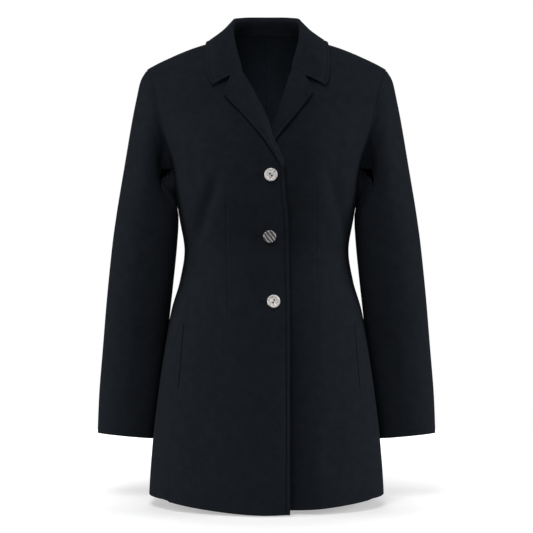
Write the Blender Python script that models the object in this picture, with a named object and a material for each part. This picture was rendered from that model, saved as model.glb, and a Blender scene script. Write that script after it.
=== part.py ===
"""A long, fitted, single-breasted jacket, filled out as it is when worn, with nobody in it.

The front faces -Y, the wearer's left side is +X and +Z is up. The origin lies between the shoulders, level
with the place where the collar meets the shoulder line. Sizes are in millimetres until a mesh is made.
"""

import math
from collections import namedtuple

import bmesh
import bpy
import numpy as np
from mathutils import Matrix, Vector

METRE = 0.001
FRONT = -1
BACK = 1
LEFT = 1
RIGHT = -1
SIDE_NAMES = {LEFT: "left", RIGHT: "right"}

# Cloth
WALL = 2.2
LAPEL_WALL = 2.6
COLLAR_WALL = 2.4
GAP = 0.3
SEAM_SIDE = GAP / 2
FOLD_CLEARANCE = 1
GORGE_GAP = 0.5

# Heights on the body
UNDERARM = -256
PANEL_TOP = -205
SIDE_HEM = -747
FRONT_HEM_DIP = 13
BACK_HEM_DIP = 10
UNDER_FRONT_SHORTER = 3
HEM_HALF_WIDTH = 190

# The slope from the shoulder's crest to the full depth of chest and back
SHOULDER_DROP = 160
DROP_POWER = 2.2
CREST_POWER = 0.75

# Bust, one soft rise on each side of the front
BUST_OFFSET = 84
BUST_HEIGHT = -208
BUST_RISE = 7
BUST_SPREAD_X = 46
BUST_SPREAD_Z = 58

Level = namedtuple("Level", "height half_width front_depth back_depth front_power back_power widest_y")
BODY = (
    Level(20, 300, 100, 92, 2.6, 2.4, 0),
    Level(-45, 265, 100, 100, 2.6, 2.4, 0),
    Level(-92, 220, 100, 106, 2.6, 2.4, 0),
    Level(-133, 190, 112, 110, 2.6, 2.4, 0),
    Level(-165, 171, 125, 112, 2.6, 2.4, 0),
    Level(-205, 157, 131, 113, 2.6, 2.4, 0),
    Level(-242, 152, 130, 112, 2.55, 2.35, 0),
    Level(-290, 144.3, 122, 106, 2.4, 2.3, 0),
    Level(-342, 136.4, 111, 101, 2.25, 2.2, -2),
    Level(-392, 144, 110, 109, 2.2, 2.2, -5),
    Level(-440, 158, 112, 125, 2.2, 2.2, -9),
    Level(-508, 169.8, 113, 143, 2.2, 2.2, -13),
    Level(-592, 181.8, 115, 150, 2.2, 2.2, -15),
    Level(-658, 189.6, 117, 150, 2.2, 2.2, -15),
    Level(-747, 196, 119, 148, 2.2, 2.2, -15),
    Level(-790, 197.5, 119, 148, 2.2, 2.2, -15),
)

Crest = namedtuple("Crest", "from_centre height")
SHOULDER = (Crest(70, 5), Crest(98, 0), Crest(117, -5.6), Crest(137, -13), Crest(163.5, -24.6),
            Crest(180, -32.4), Crest(198, -42.5), Crest(215, -54))
CREST_IN_FRONT = (Crest(0, 8), Crest(40, 7)) + SHOULDER
CREST_BEHIND = (Crest(0, 66), Crest(30, 58), Crest(45, 46), Crest(54, 33), Crest(62, 18)) + SHOULDER

# The line on which the fronts close, and the edges of the fronts measured from it towards their own side
Closing = namedtuple("Closing", "height offset")
CLOSING_LINE = (Closing(20, 0), Closing(-45, 2.4), Closing(-90, 5.4), Closing(-117, 7.3),
                Closing(-150, 7.5), Closing(-342, 8), Closing(-440, 10.5), Closing(-790, 11.5))
FrontEdge = namedtuple("FrontEdge", "height from_closing")
NECKLINE = (FrontEdge(5, 70), FrontEdge(-4, 69.3), FrontEdge(-17, 65.5), FrontEdge(-29, 59.5),
            FrontEdge(-39, 52.5), FrontEdge(-48, 45))
ROLL_LINE = (FrontEdge(-64, 35.4), FrontEdge(-90, 23.5), FrontEdge(-117, 11.6), FrontEdge(-135, 4.2),
             FrontEdge(-153, -3.5), FrontEdge(-173, -12), FrontEdge(-190, -19))
CLOSED_EDGE = (FrontEdge(-204, -23.5), FrontEdge(-240, -25.5), FrontEdge(-290, -27.5), FrontEdge(-342, -28),
               FrontEdge(-440, -27.5), FrontEdge(-790, -27))

# Near the closing line the under front lies inside the body's surface, and the upper front outside it
Layer = namedtuple("Layer", "height under upper")
LAYERS = (Layer(0, 0, 0), Layer(-60, 2, 0.5), Layer(-110, 8, 2), Layer(-150, 12, 2.5), Layer(-198, 10, 2.5),
          Layer(-230, 3.6, 1.5), Layer(-450, 3.4, 1.2), Layer(-600, 5, 1.2), Layer(-790, 8, 1.5))
LAYER_REACH = 75

# Armholes and the long seams of the side panels
Armhole = namedtuple("Armhole", "height from_centre")
FRONT_ARMHOLE = (Armhole(-42.5, 198), Armhole(-58, 189.5), Armhole(-75, 184), Armhole(-92, 180),
                 Armhole(-133, 170), Armhole(-167, 161.5), Armhole(-192, 156.3), Armhole(-205, 154.5))
BACK_ARMHOLE = (Armhole(-42.5, 198), Armhole(-58, 193), Armhole(-75, 189), Armhole(-92, 186.5),
                Armhole(-133, 179), Armhole(-167, 169), Armhole(-192, 158.5), Armhole(-205, 155))
Seam = namedtuple("Seam", "height share_in_front share_behind")
SIDE_SEAMS = (Seam(-205, 0.984, 0.987), Seam(-242, 0.962, 0.94), Seam(-290, 0.945, 0.89),
              Seam(-342, 0.93, 0.85), Seam(-392, 0.90, 0.82), Seam(-440, 0.875, 0.80),
              Seam(-508, 0.85, 0.785), Seam(-570, 0.838, 0.78), Seam(-658, 0.845, 0.78),
              Seam(-790, 0.85, 0.78))
SEAM_TURN = 4.5
SEAM_TURN_FROM = -260
SEAM_TURN_TO = -440

# Pockets in the front seams of the side panels
POCKET_TOP = -452
POCKET_BOTTOM = -568
POCKET_OPEN = 0.55
FACING_WIDTH = 18
FACING_BOW = 1.3
FACING_WALL = 1.2
FACING_LENGTH = 128

# Sleeves: the outer and inner outline seen from the front, and the depth
Sleeve = namedtuple("Sleeve", "along outer_x outer_z inner_x inner_z middle_y half_depth "
                              "armhole_share front_rise")
SLEEVE = (
    Sleeve(0.000, 198.0, -42.5, 150.0, -256, -4, 53, 1.00, 0),
    Sleeve(0.027, 206.0, -57, 149.8, -258, -4, 54, 0.93, 0),
    Sleeve(0.057, 212.0, -75, 149.4, -261, -3, 56, 0.84, 0),
    Sleeve(0.106, 218.8, -105, 148.8, -265, -3, 59, 0.70, 0),
    Sleeve(0.167, 226.0, -143, 148.2, -270, -2, 61.5, 0.52, 0),
    Sleeve(0.238, 233.5, -187, 147.6, -276, -1, 63, 0.32, 0),
    Sleeve(0.310, 241.0, -231, 147.0, -285, 0, 63.5, 0.14, 0),
    Sleeve(0.380, 248.3, -275, 147.2, -300, 1, 63.5, 0.0, 0),
    Sleeve(0.460, 255.7, -325, 149.2, -338, 3, 62, 0.0, 0.5),
    Sleeve(0.540, 261.6, -375, 154.2, -386, 6, 59.5, 0.0, 1),
    Sleeve(0.620, 267.0, -425, 160.0, -437, 11, 56.5, 0.0, 1.5),
    Sleeve(0.752, 275.0, -508, 169.0, -516, 24, 52, 0.0, 2.5),
    Sleeve(0.886, 282.4, -592, 180.0, -599, 29, 47, 0.0, 3.5),
    Sleeve(1.000, 285.0, -648, 187.5, -656, 31, 43, 0.0, 4.5),
)
# How far a sleeve's section swells past an ellipse, halfway between its front and its side
SECTION_SWELL = 0.04

# Collar, from centre back to gorge: the seam on the neckline, the fold on top and the edge of the fall
NeckStation = namedtuple("NeckStation", "face seam_x seam_z fold_x fold_y fold_z edge_x edge_z "
                                        "arch lies_flat")
COLLAR = (
    NeckStation(BACK, 0, 15, 0, 53, 43.5, 0, -2, 5, 0),
    NeckStation(BACK, 28, 14, 24, 49, 43.5, 41, -3, 5, 0),
    NeckStation(BACK, 50, 11.5, 42, 35, 42.5, 74, -7, 6.5, 0),
    NeckStation(BACK, 64, 8, 52, 17, 40, 93, -6, 5, 0),
    NeckStation(BACK, 70, 5, 55, 0, 34, 99.5, -0.6, 3.2, 0),
    NeckStation(FRONT, 69.3, -4, 55.5, -15, 21, 101, -9, 4.5, 0),
    NeckStation(FRONT, 65.5, -17, 53.5, -32, 3, 100.5, -27, 5.5, 0.15),
    NeckStation(FRONT, 59.5, -29, 49.5, -46, -13, 98.5, -43, 6.5, 0.5),
    NeckStation(FRONT, 52.5, -39, 45.5, -58, -29, 95.5, -57, 6.5, 0.85),
    NeckStation(FRONT, 45, -48, 42.4, -67.5, -45.5, 90.5, -64.5, 6.5, 1),
)
FOLD_RADIUS = 2.3
COLLAR_STANDS_OFF = 1

# Lapels: their outer edge, from the top button up to the tip, measured from the closing line
LAPEL_EDGE = (FrontEdge(-196, -23), FrontEdge(-188, -17.5), FrontEdge(-176, -7), FrontEdge(-163, 4),
              FrontEdge(-150, 13.5), FrontEdge(-130, 31), FrontEdge(-108, 51.5), FrontEdge(-92, 67),
              FrontEdge(-79, 76.5))
LAPEL_ROLL_LEVELS = (-200, -194, -183, -170, -156, -136, -108, -78, -48)
NOTCH_SHARE = 0.40
NOTCH_BEND_FROM = 0.6
INSIDE_STRIP = 7
LAPEL_ROWS = 17
LAPEL_SHARES = (0.12, 0.26, 0.4, 0.55, 0.7, 0.85, 1)
Lift = namedtuple("Lift", "across height")
LIFTS = (Lift(0, 2.1), Lift(0.12, 3.8), Lift(0.35, 4.8), Lift(0.7, 3.8), Lift(1, 2.6))

# Buttons
BUTTON_RADIUS = 10.8
BUTTON_THICKNESS = 3.4
BUTTON_DISH = 0.9
BUTTON_RIM = 2.2
BUTTON_BEVEL = 0.8
BUTTON_SHANK = 0.9
HOLE_RADIUS = 0.9
HOLE_SPACING = 3.6
HOLE_TURN = math.radians(-50)
Button = namedtuple("Button", "name height x holed")
BUTTONS = (Button("top_button", -210, 7, True), Button("middle_button", -310, 5, False),
           Button("lower_button", -416, 11.4, True))

NAVY_CLOTH = ("navy cloth", (0.0105, 0.0125, 0.0160, 1), 0.82)
PEARL = ("pearl button", (0.62, 0.58, 0.56, 1), 0.25)
DARK_HORN = ("dark horn button", (0.045, 0.05, 0.055, 1), 0.3)


# ---- curves and the surface of the body ----

def through(rows):
    """A function for the smooth curve through rows of (place, value, ...), which never overshoots them."""
    table = np.array(sorted(tuple(row) for row in rows), float)
    places, values = table[:, 0], table[:, 1:]
    steps = np.diff(places)[:, None]
    slopes = np.diff(values, axis=0) / steps
    before, after = slopes[:-1], slopes[1:]
    weight_before = 2 * steps[1:] + steps[:-1]
    weight_after = steps[1:] + 2 * steps[:-1]
    same_way = before * after > 0
    safe_before = np.where(same_way, before, 1)
    safe_after = np.where(same_way, after, 1)
    mean = (weight_before + weight_after) / (weight_before / safe_before + weight_after / safe_after)
    tangents = np.vstack([slopes[:1], np.where(same_way, mean, 0), slopes[-1:]])

    def at(place):
        place = min(max(place, places[0]), places[-1])
        k = min(int(np.searchsorted(places, place, side="right")) - 1, len(steps) - 1)
        step = steps[k, 0]
        t = (place - places[k]) / step
        return ((1 + 2 * t) * (1 - t) ** 2 * values[k] + t * (1 - t) ** 2 * step * tangents[k]
                + t * t * (3 - 2 * t) * values[k + 1] + t * t * (t - 1) * step * tangents[k + 1])

    return at


body_at = through(BODY)
crest_at = {FRONT: through(CREST_IN_FRONT), BACK: through(CREST_BEHIND)}
closing_at = through(CLOSING_LINE)
layers_at = through(LAYERS)
side_seams_at = through(SIDE_SEAMS)
armhole_at = {FRONT: through(FRONT_ARMHOLE), BACK: through(BACK_ARMHOLE)}
sleeve_at = through(SLEEVE)
lift_at = through(LIFTS)
edge_at = through(NECKLINE + ROLL_LINE + CLOSED_EDGE)


def unit(vector):
    return vector / np.linalg.norm(vector)


def smooth(t):
    t = min(max(t, 0.0), 1.0)
    return t * t * (3 - 2 * t)


def crest(x, face):
    return float(crest_at[face](abs(x))[0])


def closing(z):
    return float(closing_at(z)[0])


def bust(x, z):
    rise = 0.0
    for centre in (-BUST_OFFSET, BUST_OFFSET):
        across = (x - centre) / BUST_SPREAD_X
        along = (z - BUST_HEIGHT) / BUST_SPREAD_Z
        rise += math.exp(-0.5 * (across * across + along * along))
    return BUST_RISE * rise


def body_depth(x, z, face):
    """How far the body's surface lies in front of, or behind, the line through the shoulders' crests."""
    half_width, front_depth, back_depth, front_power, back_power, widest_y = body_at(z)
    depth, power = (front_depth, front_power) if face == FRONT else (back_depth, back_power)
    across = min(abs(x) / half_width, 1.0)
    full = depth * (1 - across ** power) ** (1 / power)
    drop = min(max((crest(x, face) - z) / SHOULDER_DROP, 0.0), 1.0)
    fade = (1 - (1 - drop) ** DROP_POWER) ** CREST_POWER
    if face == FRONT:
        full += bust(x, z) * (1 - across ** 6)
    return full * fade + face * widest_y


def layer(side, x, z):
    """How far a front lies outside the body's surface, near the closing line. x points to its own side."""
    under, upper = layers_at(z)
    share = 1 - smooth((x - 20) / LAYER_REACH)
    return share * (upper if side == RIGHT else -under)


def surface(x, z, face, side=None):
    y = face * body_depth(x, z, face)
    if side and face == FRONT:
        y -= layer(side, x, z)
    return np.array([x, y, z])


def outward(x, z, face, side=None):
    """The surface's normal there, pointing out of the body."""
    h = 0.5
    slope_x = (surface(x + h, z, face, side)[1] - surface(x - h, z, face, side)[1]) / (2 * h)
    slope_z = (surface(x, z + h, face, side)[1] - surface(x, z - h, face, side)[1]) / (2 * h)
    return unit(np.array([-slope_x * face, face, -slope_z * face]))


def hem(x, face, side=RIGHT):
    share = 1 - min(abs(x) / HEM_HALF_WIDTH, 1) ** 2
    if face == BACK:
        return SIDE_HEM - BACK_HEM_DIP * share
    return SIDE_HEM - (FRONT_HEM_DIP - (UNDER_FRONT_SHORTER if side == LEFT else 0)) * share


def row_height(x, row, face, side=RIGHT):
    """Rows 0 to 1 run from the shoulder to the top of the side panel, and rows 1 to 2 on to the hem."""
    if row < 1:
        return crest(x, face) * (1 - row) + PANEL_TOP * row
    return PANEL_TOP + (hem(x, face, side) - PANEL_TOP) * (row - 1)


def row_of(x, z, face):
    if z > PANEL_TOP:
        return (crest(x, face) - z) / (crest(x, face) - PANEL_TOP)
    return 1 + (z - PANEL_TOP) / (hem(x, face) - PANEL_TOP)


def seam_x(z, face, side):
    """The long seam in front of, or behind, a side panel, on its own side."""
    shares = side_seams_at(z)
    x = float(body_at(z)[0]) * float(shares[0] if face == FRONT else shares[1])
    turn = smooth((SEAM_TURN_FROM - z) / (SEAM_TURN_FROM - SEAM_TURN_TO))
    return x + side * SEAM_TURN * turn * (face == FRONT)


def armhole_rows(face):
    rows = (Armhole(row_of(x, z, face), x) for z, x in (FRONT_ARMHOLE if face == FRONT else BACK_ARMHOLE))
    return through(rows)


armhole_x_at = {FRONT: armhole_rows(FRONT), BACK: armhole_rows(BACK)}


def outer_edge_x(row, face, side):
    if row <= 1:
        return float(armhole_x_at[face](row)[0])
    z = PANEL_TOP + (SIDE_HEM - PANEL_TOP) * (row - 1)
    return seam_x(z, face, side)


def front_edge_rows(side):
    rows = []
    for z, distance in NECKLINE + ROLL_LINE + CLOSED_EDGE[:-1]:
        x = side * closing(z) + distance
        rows.append((row_of(x, z, FRONT), x))
    rows.append((2.0, side * closing(SIDE_HEM) + CLOSED_EDGE[-1].from_closing))
    return through(rows)


front_edge_x_at = {side: front_edge_rows(side) for side in (LEFT, RIGHT)}


# ---- walls of cloth ----

def collection(name):
    found = bpy.data.collections.get(name)
    if not found:
        found = bpy.data.collections.new(name)
        bpy.context.scene.collection.children.link(found)
    return found


def material(finish):
    name, colour, roughness = finish
    found = bpy.data.materials.get(name)
    if found:
        return found
    made = bpy.data.materials.new(name)
    made.use_nodes = True
    shader = made.node_tree.nodes["Principled BSDF"]
    shader.inputs["Base Color"].default_value = colour
    shader.inputs["Roughness"].default_value = roughness
    shader.inputs["Metallic"].default_value = 0
    return made


def add_object(name, mesh, finish):
    piece = bpy.data.objects.new(name, mesh)
    mesh.materials.append(material(finish))
    collection("jacket").objects.link(piece)
    return piece


def pull_in(points, side_of_grid, distance):
    """Moves one edge of a grid towards the row or column beside it."""
    edge, beside = {"first_row": (np.s_[0], np.s_[1]), "last_row": (np.s_[-1], np.s_[-2]),
                    "first_column": (np.s_[:, 0], np.s_[:, 1]),
                    "last_column": (np.s_[:, -1], np.s_[:, -2])}[side_of_grid]
    away = points[beside] - points[edge]
    points[edge] += away / np.linalg.norm(away, axis=-1, keepdims=True) * np.reshape(distance, (-1, 1))


def wall(name, outer, inner, side=LEFT, finish=NAVY_CLOTH):
    """A closed wall between two grids of points in rows and columns, mirrored for the right side."""
    rows, columns = outer.shape[:2]
    bm = bmesh.new()
    place = Vector((side * METRE, METRE, METRE))
    skins = []
    for grid in (outer, inner):
        corners = [[Vector(grid[r, c]) * place for c in range(columns)] for r in range(rows)]
        skins.append([[bm.verts.new(corner) for corner in row] for row in corners])
    for skin in skins:
        for r in range(rows - 1):
            for c in range(columns - 1):
                bm.faces.new((skin[r][c], skin[r][c + 1], skin[r + 1][c + 1], skin[r + 1][c]))
    rim = [(0, c) for c in range(columns)] + [(r, columns - 1) for r in range(1, rows)]
    rim += [(rows - 1, c) for c in range(columns - 2, -1, -1)] + [(r, 0) for r in range(rows - 2, 0, -1)]
    for (r, c), (next_r, next_c) in zip(rim, rim[1:] + rim[:1]):
        bm.faces.new((skins[0][r][c], skins[0][next_r][next_c], skins[1][next_r][next_c], skins[1][r][c]))
    bmesh.ops.recalc_face_normals(bm, faces=bm.faces)
    mesh = bpy.data.meshes.new(name)
    bm.to_mesh(mesh)
    bm.free()
    mesh.shade_smooth()
    mesh.set_sharp_from_angle(angle=math.radians(50))
    return add_object(name, mesh, finish)


# ---- body panels ----

UPPER_ROWS = (0, 0.02, 0.06, 0.12, 0.19, 0.27, 0.36, 0.46, 0.58, 0.72, 0.86, 1)
LOWER_ROWS = tuple(1 + k / 17 for k in range(1, 18))
PANEL_ROWS = UPPER_ROWS + LOWER_ROWS
FRONT_COLUMNS = 13
BACK_COLUMNS = 9
SIDE_COLUMNS = 7
CROWDING = 0.85 * math.pi / 2


def spread(share):
    """Columns lie closer together towards the side of the body."""
    return math.sin(CROWDING * share) / math.sin(CROWDING)


def crest_normal(x, face):
    h = 0.5
    slope = (crest(x + h, face) - crest(x - h, face)) / (2 * h)
    return unit(np.array([-slope, 0, 1]))


def front_grid(side):
    """Outer points and normals of a front, from its own edge to its armhole and side seam."""
    points, normals = [], []
    for row in PANEL_ROWS:
        inner_x = float(front_edge_x_at[side](row)[0])
        outer_x = outer_edge_x(row, FRONT, side)
        for c in range(FRONT_COLUMNS):
            x = inner_x + (outer_x - inner_x) * spread(c / (FRONT_COLUMNS - 1))
            z = row_height(x, row, FRONT, side)
            points.append(surface(x, z, FRONT, side))
            normals.append(crest_normal(x, FRONT) if row == 0 else outward(x, z, FRONT, side))
    shape = (len(PANEL_ROWS), FRONT_COLUMNS, 3)
    return np.array(points).reshape(shape), np.array(normals).reshape(shape)


def back_grid(side):
    """Outer points and normals of a back, from the centre back seam to its armhole and side seam."""
    neck = [(s.seam_x, s.seam_z) for s in COLLAR if s.face == BACK]
    neck_height = through(neck)
    points, normals = [], []
    for row in PANEL_ROWS:
        outer_x = outer_edge_x(row, BACK, side)
        for c in range(BACK_COLUMNS):
            x = outer_x * spread(c / (BACK_COLUMNS - 1))
            top = float(neck_height(x)[0]) if x < neck[-1][0] else crest(x, BACK)
            z = top * (1 - row) + PANEL_TOP * row if row < 1 else row_height(x, row, BACK)
            points.append(surface(x, z, BACK))
            on_crest = row == 0 and x >= neck[-1][0]
            normals.append(crest_normal(x, BACK) if on_crest else outward(x, z, BACK))
    shape = (len(PANEL_ROWS), BACK_COLUMNS, 3)
    return np.array(points).reshape(shape), np.array(normals).reshape(shape)


def side_top(share):
    """The lowest part of the armhole, between the seams in front of and behind the side panel."""
    return UNDERARM + (PANEL_TOP - UNDERARM) * abs(2 * share - 1) ** 2.2


def side_point(side, share, part):
    z_top = side_top(share)
    face = FRONT if share < 0.5 else BACK
    edge = HEM_HALF_WIDTH * 0.95
    z = z_top + (hem(edge, face, side) - z_top) * part
    front_y = surface(seam_x(z, FRONT, side), z, FRONT, side)[1]
    back_y = surface(seam_x(z, BACK, side), z, BACK)[1]
    y = front_y + (back_y - front_y) * share
    half_width, front_depth, back_depth, front_power, back_power, widest_y = body_at(z)
    from_widest = y - widest_y
    depth, power = (front_depth, front_power) if from_widest < 0 else (back_depth, back_power)
    x = half_width * (1 - min(abs(from_widest) / depth, 1) ** power) ** (1 / power)
    return np.array([x, y, z])


def side_grid(side):
    """Outer points and normals of a side panel, from its front seam to its back seam."""
    parts = [0] + [row - 1 for row in LOWER_ROWS]
    points, normals = [], []
    h = 0.01
    for part in parts:
        for c in range(SIDE_COLUMNS):
            share = c / (SIDE_COLUMNS - 1)
            across = side_point(side, share + h, part) - side_point(side, share - h, part)
            down = side_point(side, share, part + h) - side_point(side, share, part - h)
            points.append(side_point(side, share, part))
            normals.append(unit(np.cross(down, across)))
    shape = (len(parts), SIDE_COLUMNS, 3)
    return np.array(points).reshape(shape), np.array(normals).reshape(shape)


def at_height(z, line, values=None):
    """The point, or another value, at a height on a line of points that runs down."""
    values = line if values is None else values
    return np.array([np.interp(z, line[::-1, 2], values[::-1, k]) for k in range(3)])


def pocket_gaps(points):
    """Half of the gap in a front seam, wider where the pocket opens."""
    return [SEAM_SIDE + (POCKET_OPEN if POCKET_BOTTOM <= z <= POCKET_TOP else 0) for z in points[:, 2]]


def share_seam(panel, panel_normals, column, points, normals):
    """Puts an edge of the side panel and the last column of its neighbour on the same points."""
    rows = slice(len(UPPER_ROWS) - 1, None)
    joined = (points[rows, -1] + panel[:, column]) / 2
    points[rows, -1] = joined
    panel[:, column] = joined
    panel_normals[:, column] = normals[rows, -1]


def add_panel(name, side, points, normals, gaps):
    outer = points.copy()
    inner = points - normals * WALL
    for edge, distance in gaps.items():
        pull_in(outer, edge, distance)
        pull_in(inner, edge, distance)
    wall(name + SIDE_NAMES[side], outer, inner, side)


def add_panels(side):
    """The front, side panel and back of one side. Returns what the sleeve, pocket and lapel are sewn to."""
    front, front_normals = front_grid(side)
    panel, panel_normals = side_grid(side)
    back, back_normals = back_grid(side)
    share_seam(panel, panel_normals, 0, front, front_normals)
    share_seam(panel, panel_normals, -1, back, back_normals)
    add_panel("front_", side, front, front_normals,
              {"first_row": SEAM_SIDE, "last_column": pocket_gaps(front[:, -1])})
    add_panel("side_panel_", side, panel, panel_normals,
              {"first_column": pocket_gaps(panel[:, 0]), "last_column": SEAM_SIDE})
    add_panel("back_", side, back, back_normals,
              {"first_row": SEAM_SIDE, "first_column": SEAM_SIDE, "last_column": SEAM_SIDE})
    rows = len(UPPER_ROWS)
    loop = np.vstack([front[:rows, -1], panel[0, 1:-1], back[:rows, -1][::-1][:-1]])
    back_part = back_normals[:rows, -1][::-1][:-1]
    loop_normals = np.vstack([front_normals[:rows, -1], panel_normals[0, 1:-1], back_part])
    pocket_seam = (front[rows - 1:, -1], front_normals[rows - 1:, -1])
    return loop, loop_normals, pocket_seam, (front[:, 0], front_normals[:, 0])


def add_pocket_facing(side, seam, seam_normals):
    """A strip of cloth behind the pocket's opening, just inside the two panels."""
    middle = (POCKET_TOP + POCKET_BOTTOM) / 2
    depth = WALL + GAP
    wanted = np.linspace(middle + FACING_LENGTH / 2, middle - FACING_LENGTH / 2, 7)
    outer, inner = [], []
    for z in wanted:
        point = at_height(z, seam)
        normal = unit(at_height(z, seam, seam_normals))
        along = unit(np.cross(normal, [0, 0, 1]))
        base = point - normal * (depth + 0.6)
        row = [base + along * share * FACING_WIDTH / 2 - normal * FACING_BOW * abs(share)
               for share in (-1, 0, 1)]
        outer.append(row)
        inner.append([corner - normal * FACING_WALL for corner in row])
    wall("pocket_facing_" + SIDE_NAMES[side], np.array(outer), np.array(inner), side)


# ---- sleeves ----

SLEEVE_STATIONS = (0, 0.02, 0.05, 0.09, 0.14, 0.19, 0.25, 0.31, 0.38, 0.45, 0.52, 0.59, 0.66, 0.73, 0.8,
                   0.87, 0.94, 1)
FRONT_SLEEVE_SEAM = len(UPPER_ROWS)
BACK_SLEEVE_SEAM = len(UPPER_ROWS) + SIDE_COLUMNS - 1


def sleeve_ring(station, angles):
    """An oval ring between the sleeve's outlines. Angle 0 is outermost and 90 degrees in front."""
    outer_x, outer_z, inner_x, inner_z, middle_y, half_depth, _, front_rise = sleeve_at(station)
    outer = np.array([outer_x, middle_y, outer_z])
    inner = np.array([inner_x, middle_y, inner_z])
    swell = 1 + SECTION_SWELL * np.sin(2 * angles) ** 2
    ring = (outer + inner) / 2 + np.outer(np.cos(angles) * swell, (outer - inner) / 2)
    ring[:, 1] -= np.sin(angles) * swell * half_depth
    ring[:, 2] += np.sin(angles) * swell * front_rise
    return ring


def sleeve_grid(loop, loop_normals):
    """Outer and inner points of the whole sleeve, in rings that start at the armhole."""
    outer_x, outer_z, inner_x, inner_z, middle_y, half_depth, _, _ = sleeve_at(0)
    centre = np.array([outer_x + inner_x, 2 * middle_y, outer_z + inner_z]) / 2
    arm = np.array([outer_x - inner_x, 0, outer_z - inner_z]) / 2
    across = (loop - centre) @ arm / (arm @ arm)
    deep = -(loop[:, 1] - middle_y) / half_depth
    angles = np.arctan2(deep, across)
    strays = loop - sleeve_ring(0, angles)
    rings = [sleeve_ring(s, angles) + strays * float(sleeve_at(s)[6]) for s in SLEEVE_STATIONS]
    grid = np.array(rings)
    round_it = np.roll(grid, -1, axis=1) - np.roll(grid, 1, axis=1)
    down = np.gradient(grid, axis=0)
    normals = np.cross(round_it, down)
    normals /= np.linalg.norm(normals, axis=-1, keepdims=True)
    if (normals[-1, 0] @ (grid[-1, 0] - grid[-1].mean(axis=0))) < 0:
        normals = -normals
    outer = grid.copy()
    inner = grid - normals * WALL
    along_loop = np.roll(loop, -1, axis=0) - np.roll(loop, 1, axis=0)
    for k in range(len(loop)):
        body_normal = loop_normals[k]
        away = unit(np.cross(body_normal, along_loop[k]))
        inwards = -normals[0, k]
        if inwards @ away < 0:
            inwards = unit(inwards - (inwards @ away) * away)
        turn = math.acos(min(max(inwards @ -body_normal, -1), 1)) / 2
        step = away * math.cos(turn) + body_normal * math.sin(turn)
        outer[0, k] = loop[k] + step * GAP * 1.2 / max(math.cos(turn), math.sin(turn))
        inner[0, k] = outer[0, k] + inwards * WALL
    return outer, inner


def add_sleeve(side, loop, loop_normals):
    outer, inner = sleeve_grid(loop, loop_normals)
    count = outer.shape[1]
    under = list(range(FRONT_SLEEVE_SEAM, BACK_SLEEVE_SEAM + 1))
    upper = list(range(BACK_SLEEVE_SEAM, count)) + list(range(FRONT_SLEEVE_SEAM + 1))
    for name, columns in (("upper_sleeve_", upper), ("under_sleeve_", under)):
        skins = [outer[:, columns].copy(), inner[:, columns].copy()]
        for skin in skins:
            pull_in(skin, "first_column", SEAM_SIDE)
            pull_in(skin, "last_column", SEAM_SIDE)
        wall(name + SIDE_NAMES[side], skins[0], skins[1], side)


# ---- collar and lapels ----

def turned_out(x, z, side, share):
    """A point on the middle of the cloth that is folded out over a front. x points to its own side."""
    point = surface(x, z, FRONT, side)
    point[1] -= float(lift_at(share)[0])
    return point


def collar_station(station, side, tangent):
    """The middle of the collar's cloth, from the neck seam over the fold to the edge of the fall."""
    shift = side * closing(station.seam_z) if station.face == FRONT else 0
    seam = surface(station.seam_x + shift, station.seam_z, station.face, side)
    normal = outward(seam[0], seam[2], station.face, side)
    if abs(seam[1]) < 1:
        normal = crest_normal(seam[0], station.face)
    fold_shift = side * closing(station.fold_z)
    fold = np.array([station.fold_x + fold_shift, station.fold_y, station.fold_z], float)
    edge_shift = side * closing(station.edge_z)
    edge = surface(station.edge_x + edge_shift, station.edge_z, station.face, side)
    edge_normal = outward(edge[0], edge[2], station.face, side)
    if station.edge_z > crest(edge[0], station.face) - 1.5:
        edge_normal = crest_normal(edge[0], station.face)
    edge = edge + edge_normal * (float(lift_at(1)[0]) + (COLLAR_STANDS_OFF if station.face == BACK else 0))
    start = seam - normal * WALL / 2
    rise = unit(fold - start)
    start = start + rise * (GAP + COLLAR_WALL / 2)
    chord = edge - fold
    bulge = unit(np.cross(chord, tangent))
    if bulge @ (edge_normal + np.array([0, 0, 0.3])) < 0:
        bulge = -bulge
    stand_top = fold - bulge * FOLD_RADIUS - rise * FOLD_RADIUS
    profile = [start, start + (stand_top - start) * 0.5, stand_top]
    for angle in (-60, 0, 60):
        turn = math.radians(angle)
        bent = bulge * math.sin(turn) + rise * math.cos(turn) - rise
        profile.append(fold + bent * FOLD_RADIUS)
    fall_start = fold + bulge * FOLD_RADIUS - rise * FOLD_RADIUS
    for share in (0, 0.2, 0.4, 0.6, 0.8, 1):
        point = fall_start + (edge - fall_start) * share + bulge * station.arch * 4 * share * (1 - share)
        if station.lies_flat:
            flat = turned_out(point[0], point[2], side, share)
            point = point + (flat - point) * station.lies_flat
        profile.append(point)
    return profile


def collar_stations(side):
    """Half of the collar's sections, from the centre back to the gorge, evened out along the neck."""
    fields = through([(k,) + tuple(s[1:]) for k, s in enumerate(COLLAR)])
    sections = []
    count = 14
    for k in range(count + 1):
        place = k * (len(COLLAR) - 1) / count
        face = BACK if place <= 4 else FRONT
        station = NeckStation(face, *fields(place))
        ahead = NeckStation(face, *fields(place + 0.1))
        behind = NeckStation(face, *fields(place - 0.1))
        tangent = unit(np.array([ahead.fold_x - behind.fold_x, ahead.fold_y - behind.fold_y,
                                 ahead.fold_z - behind.fold_z]))
        sections.append(collar_station(station, side, tangent))
    return np.array(sections)


def thick(middle, thickness):
    """Outer and inner points on each side of the middle of a cloth."""
    across = np.gradient(middle, axis=0)
    along = np.gradient(middle, axis=1)
    normals = np.cross(across, along)
    normals /= np.linalg.norm(normals, axis=-1, keepdims=True)
    return middle + normals * thickness / 2, middle - normals * thickness / 2


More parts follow.
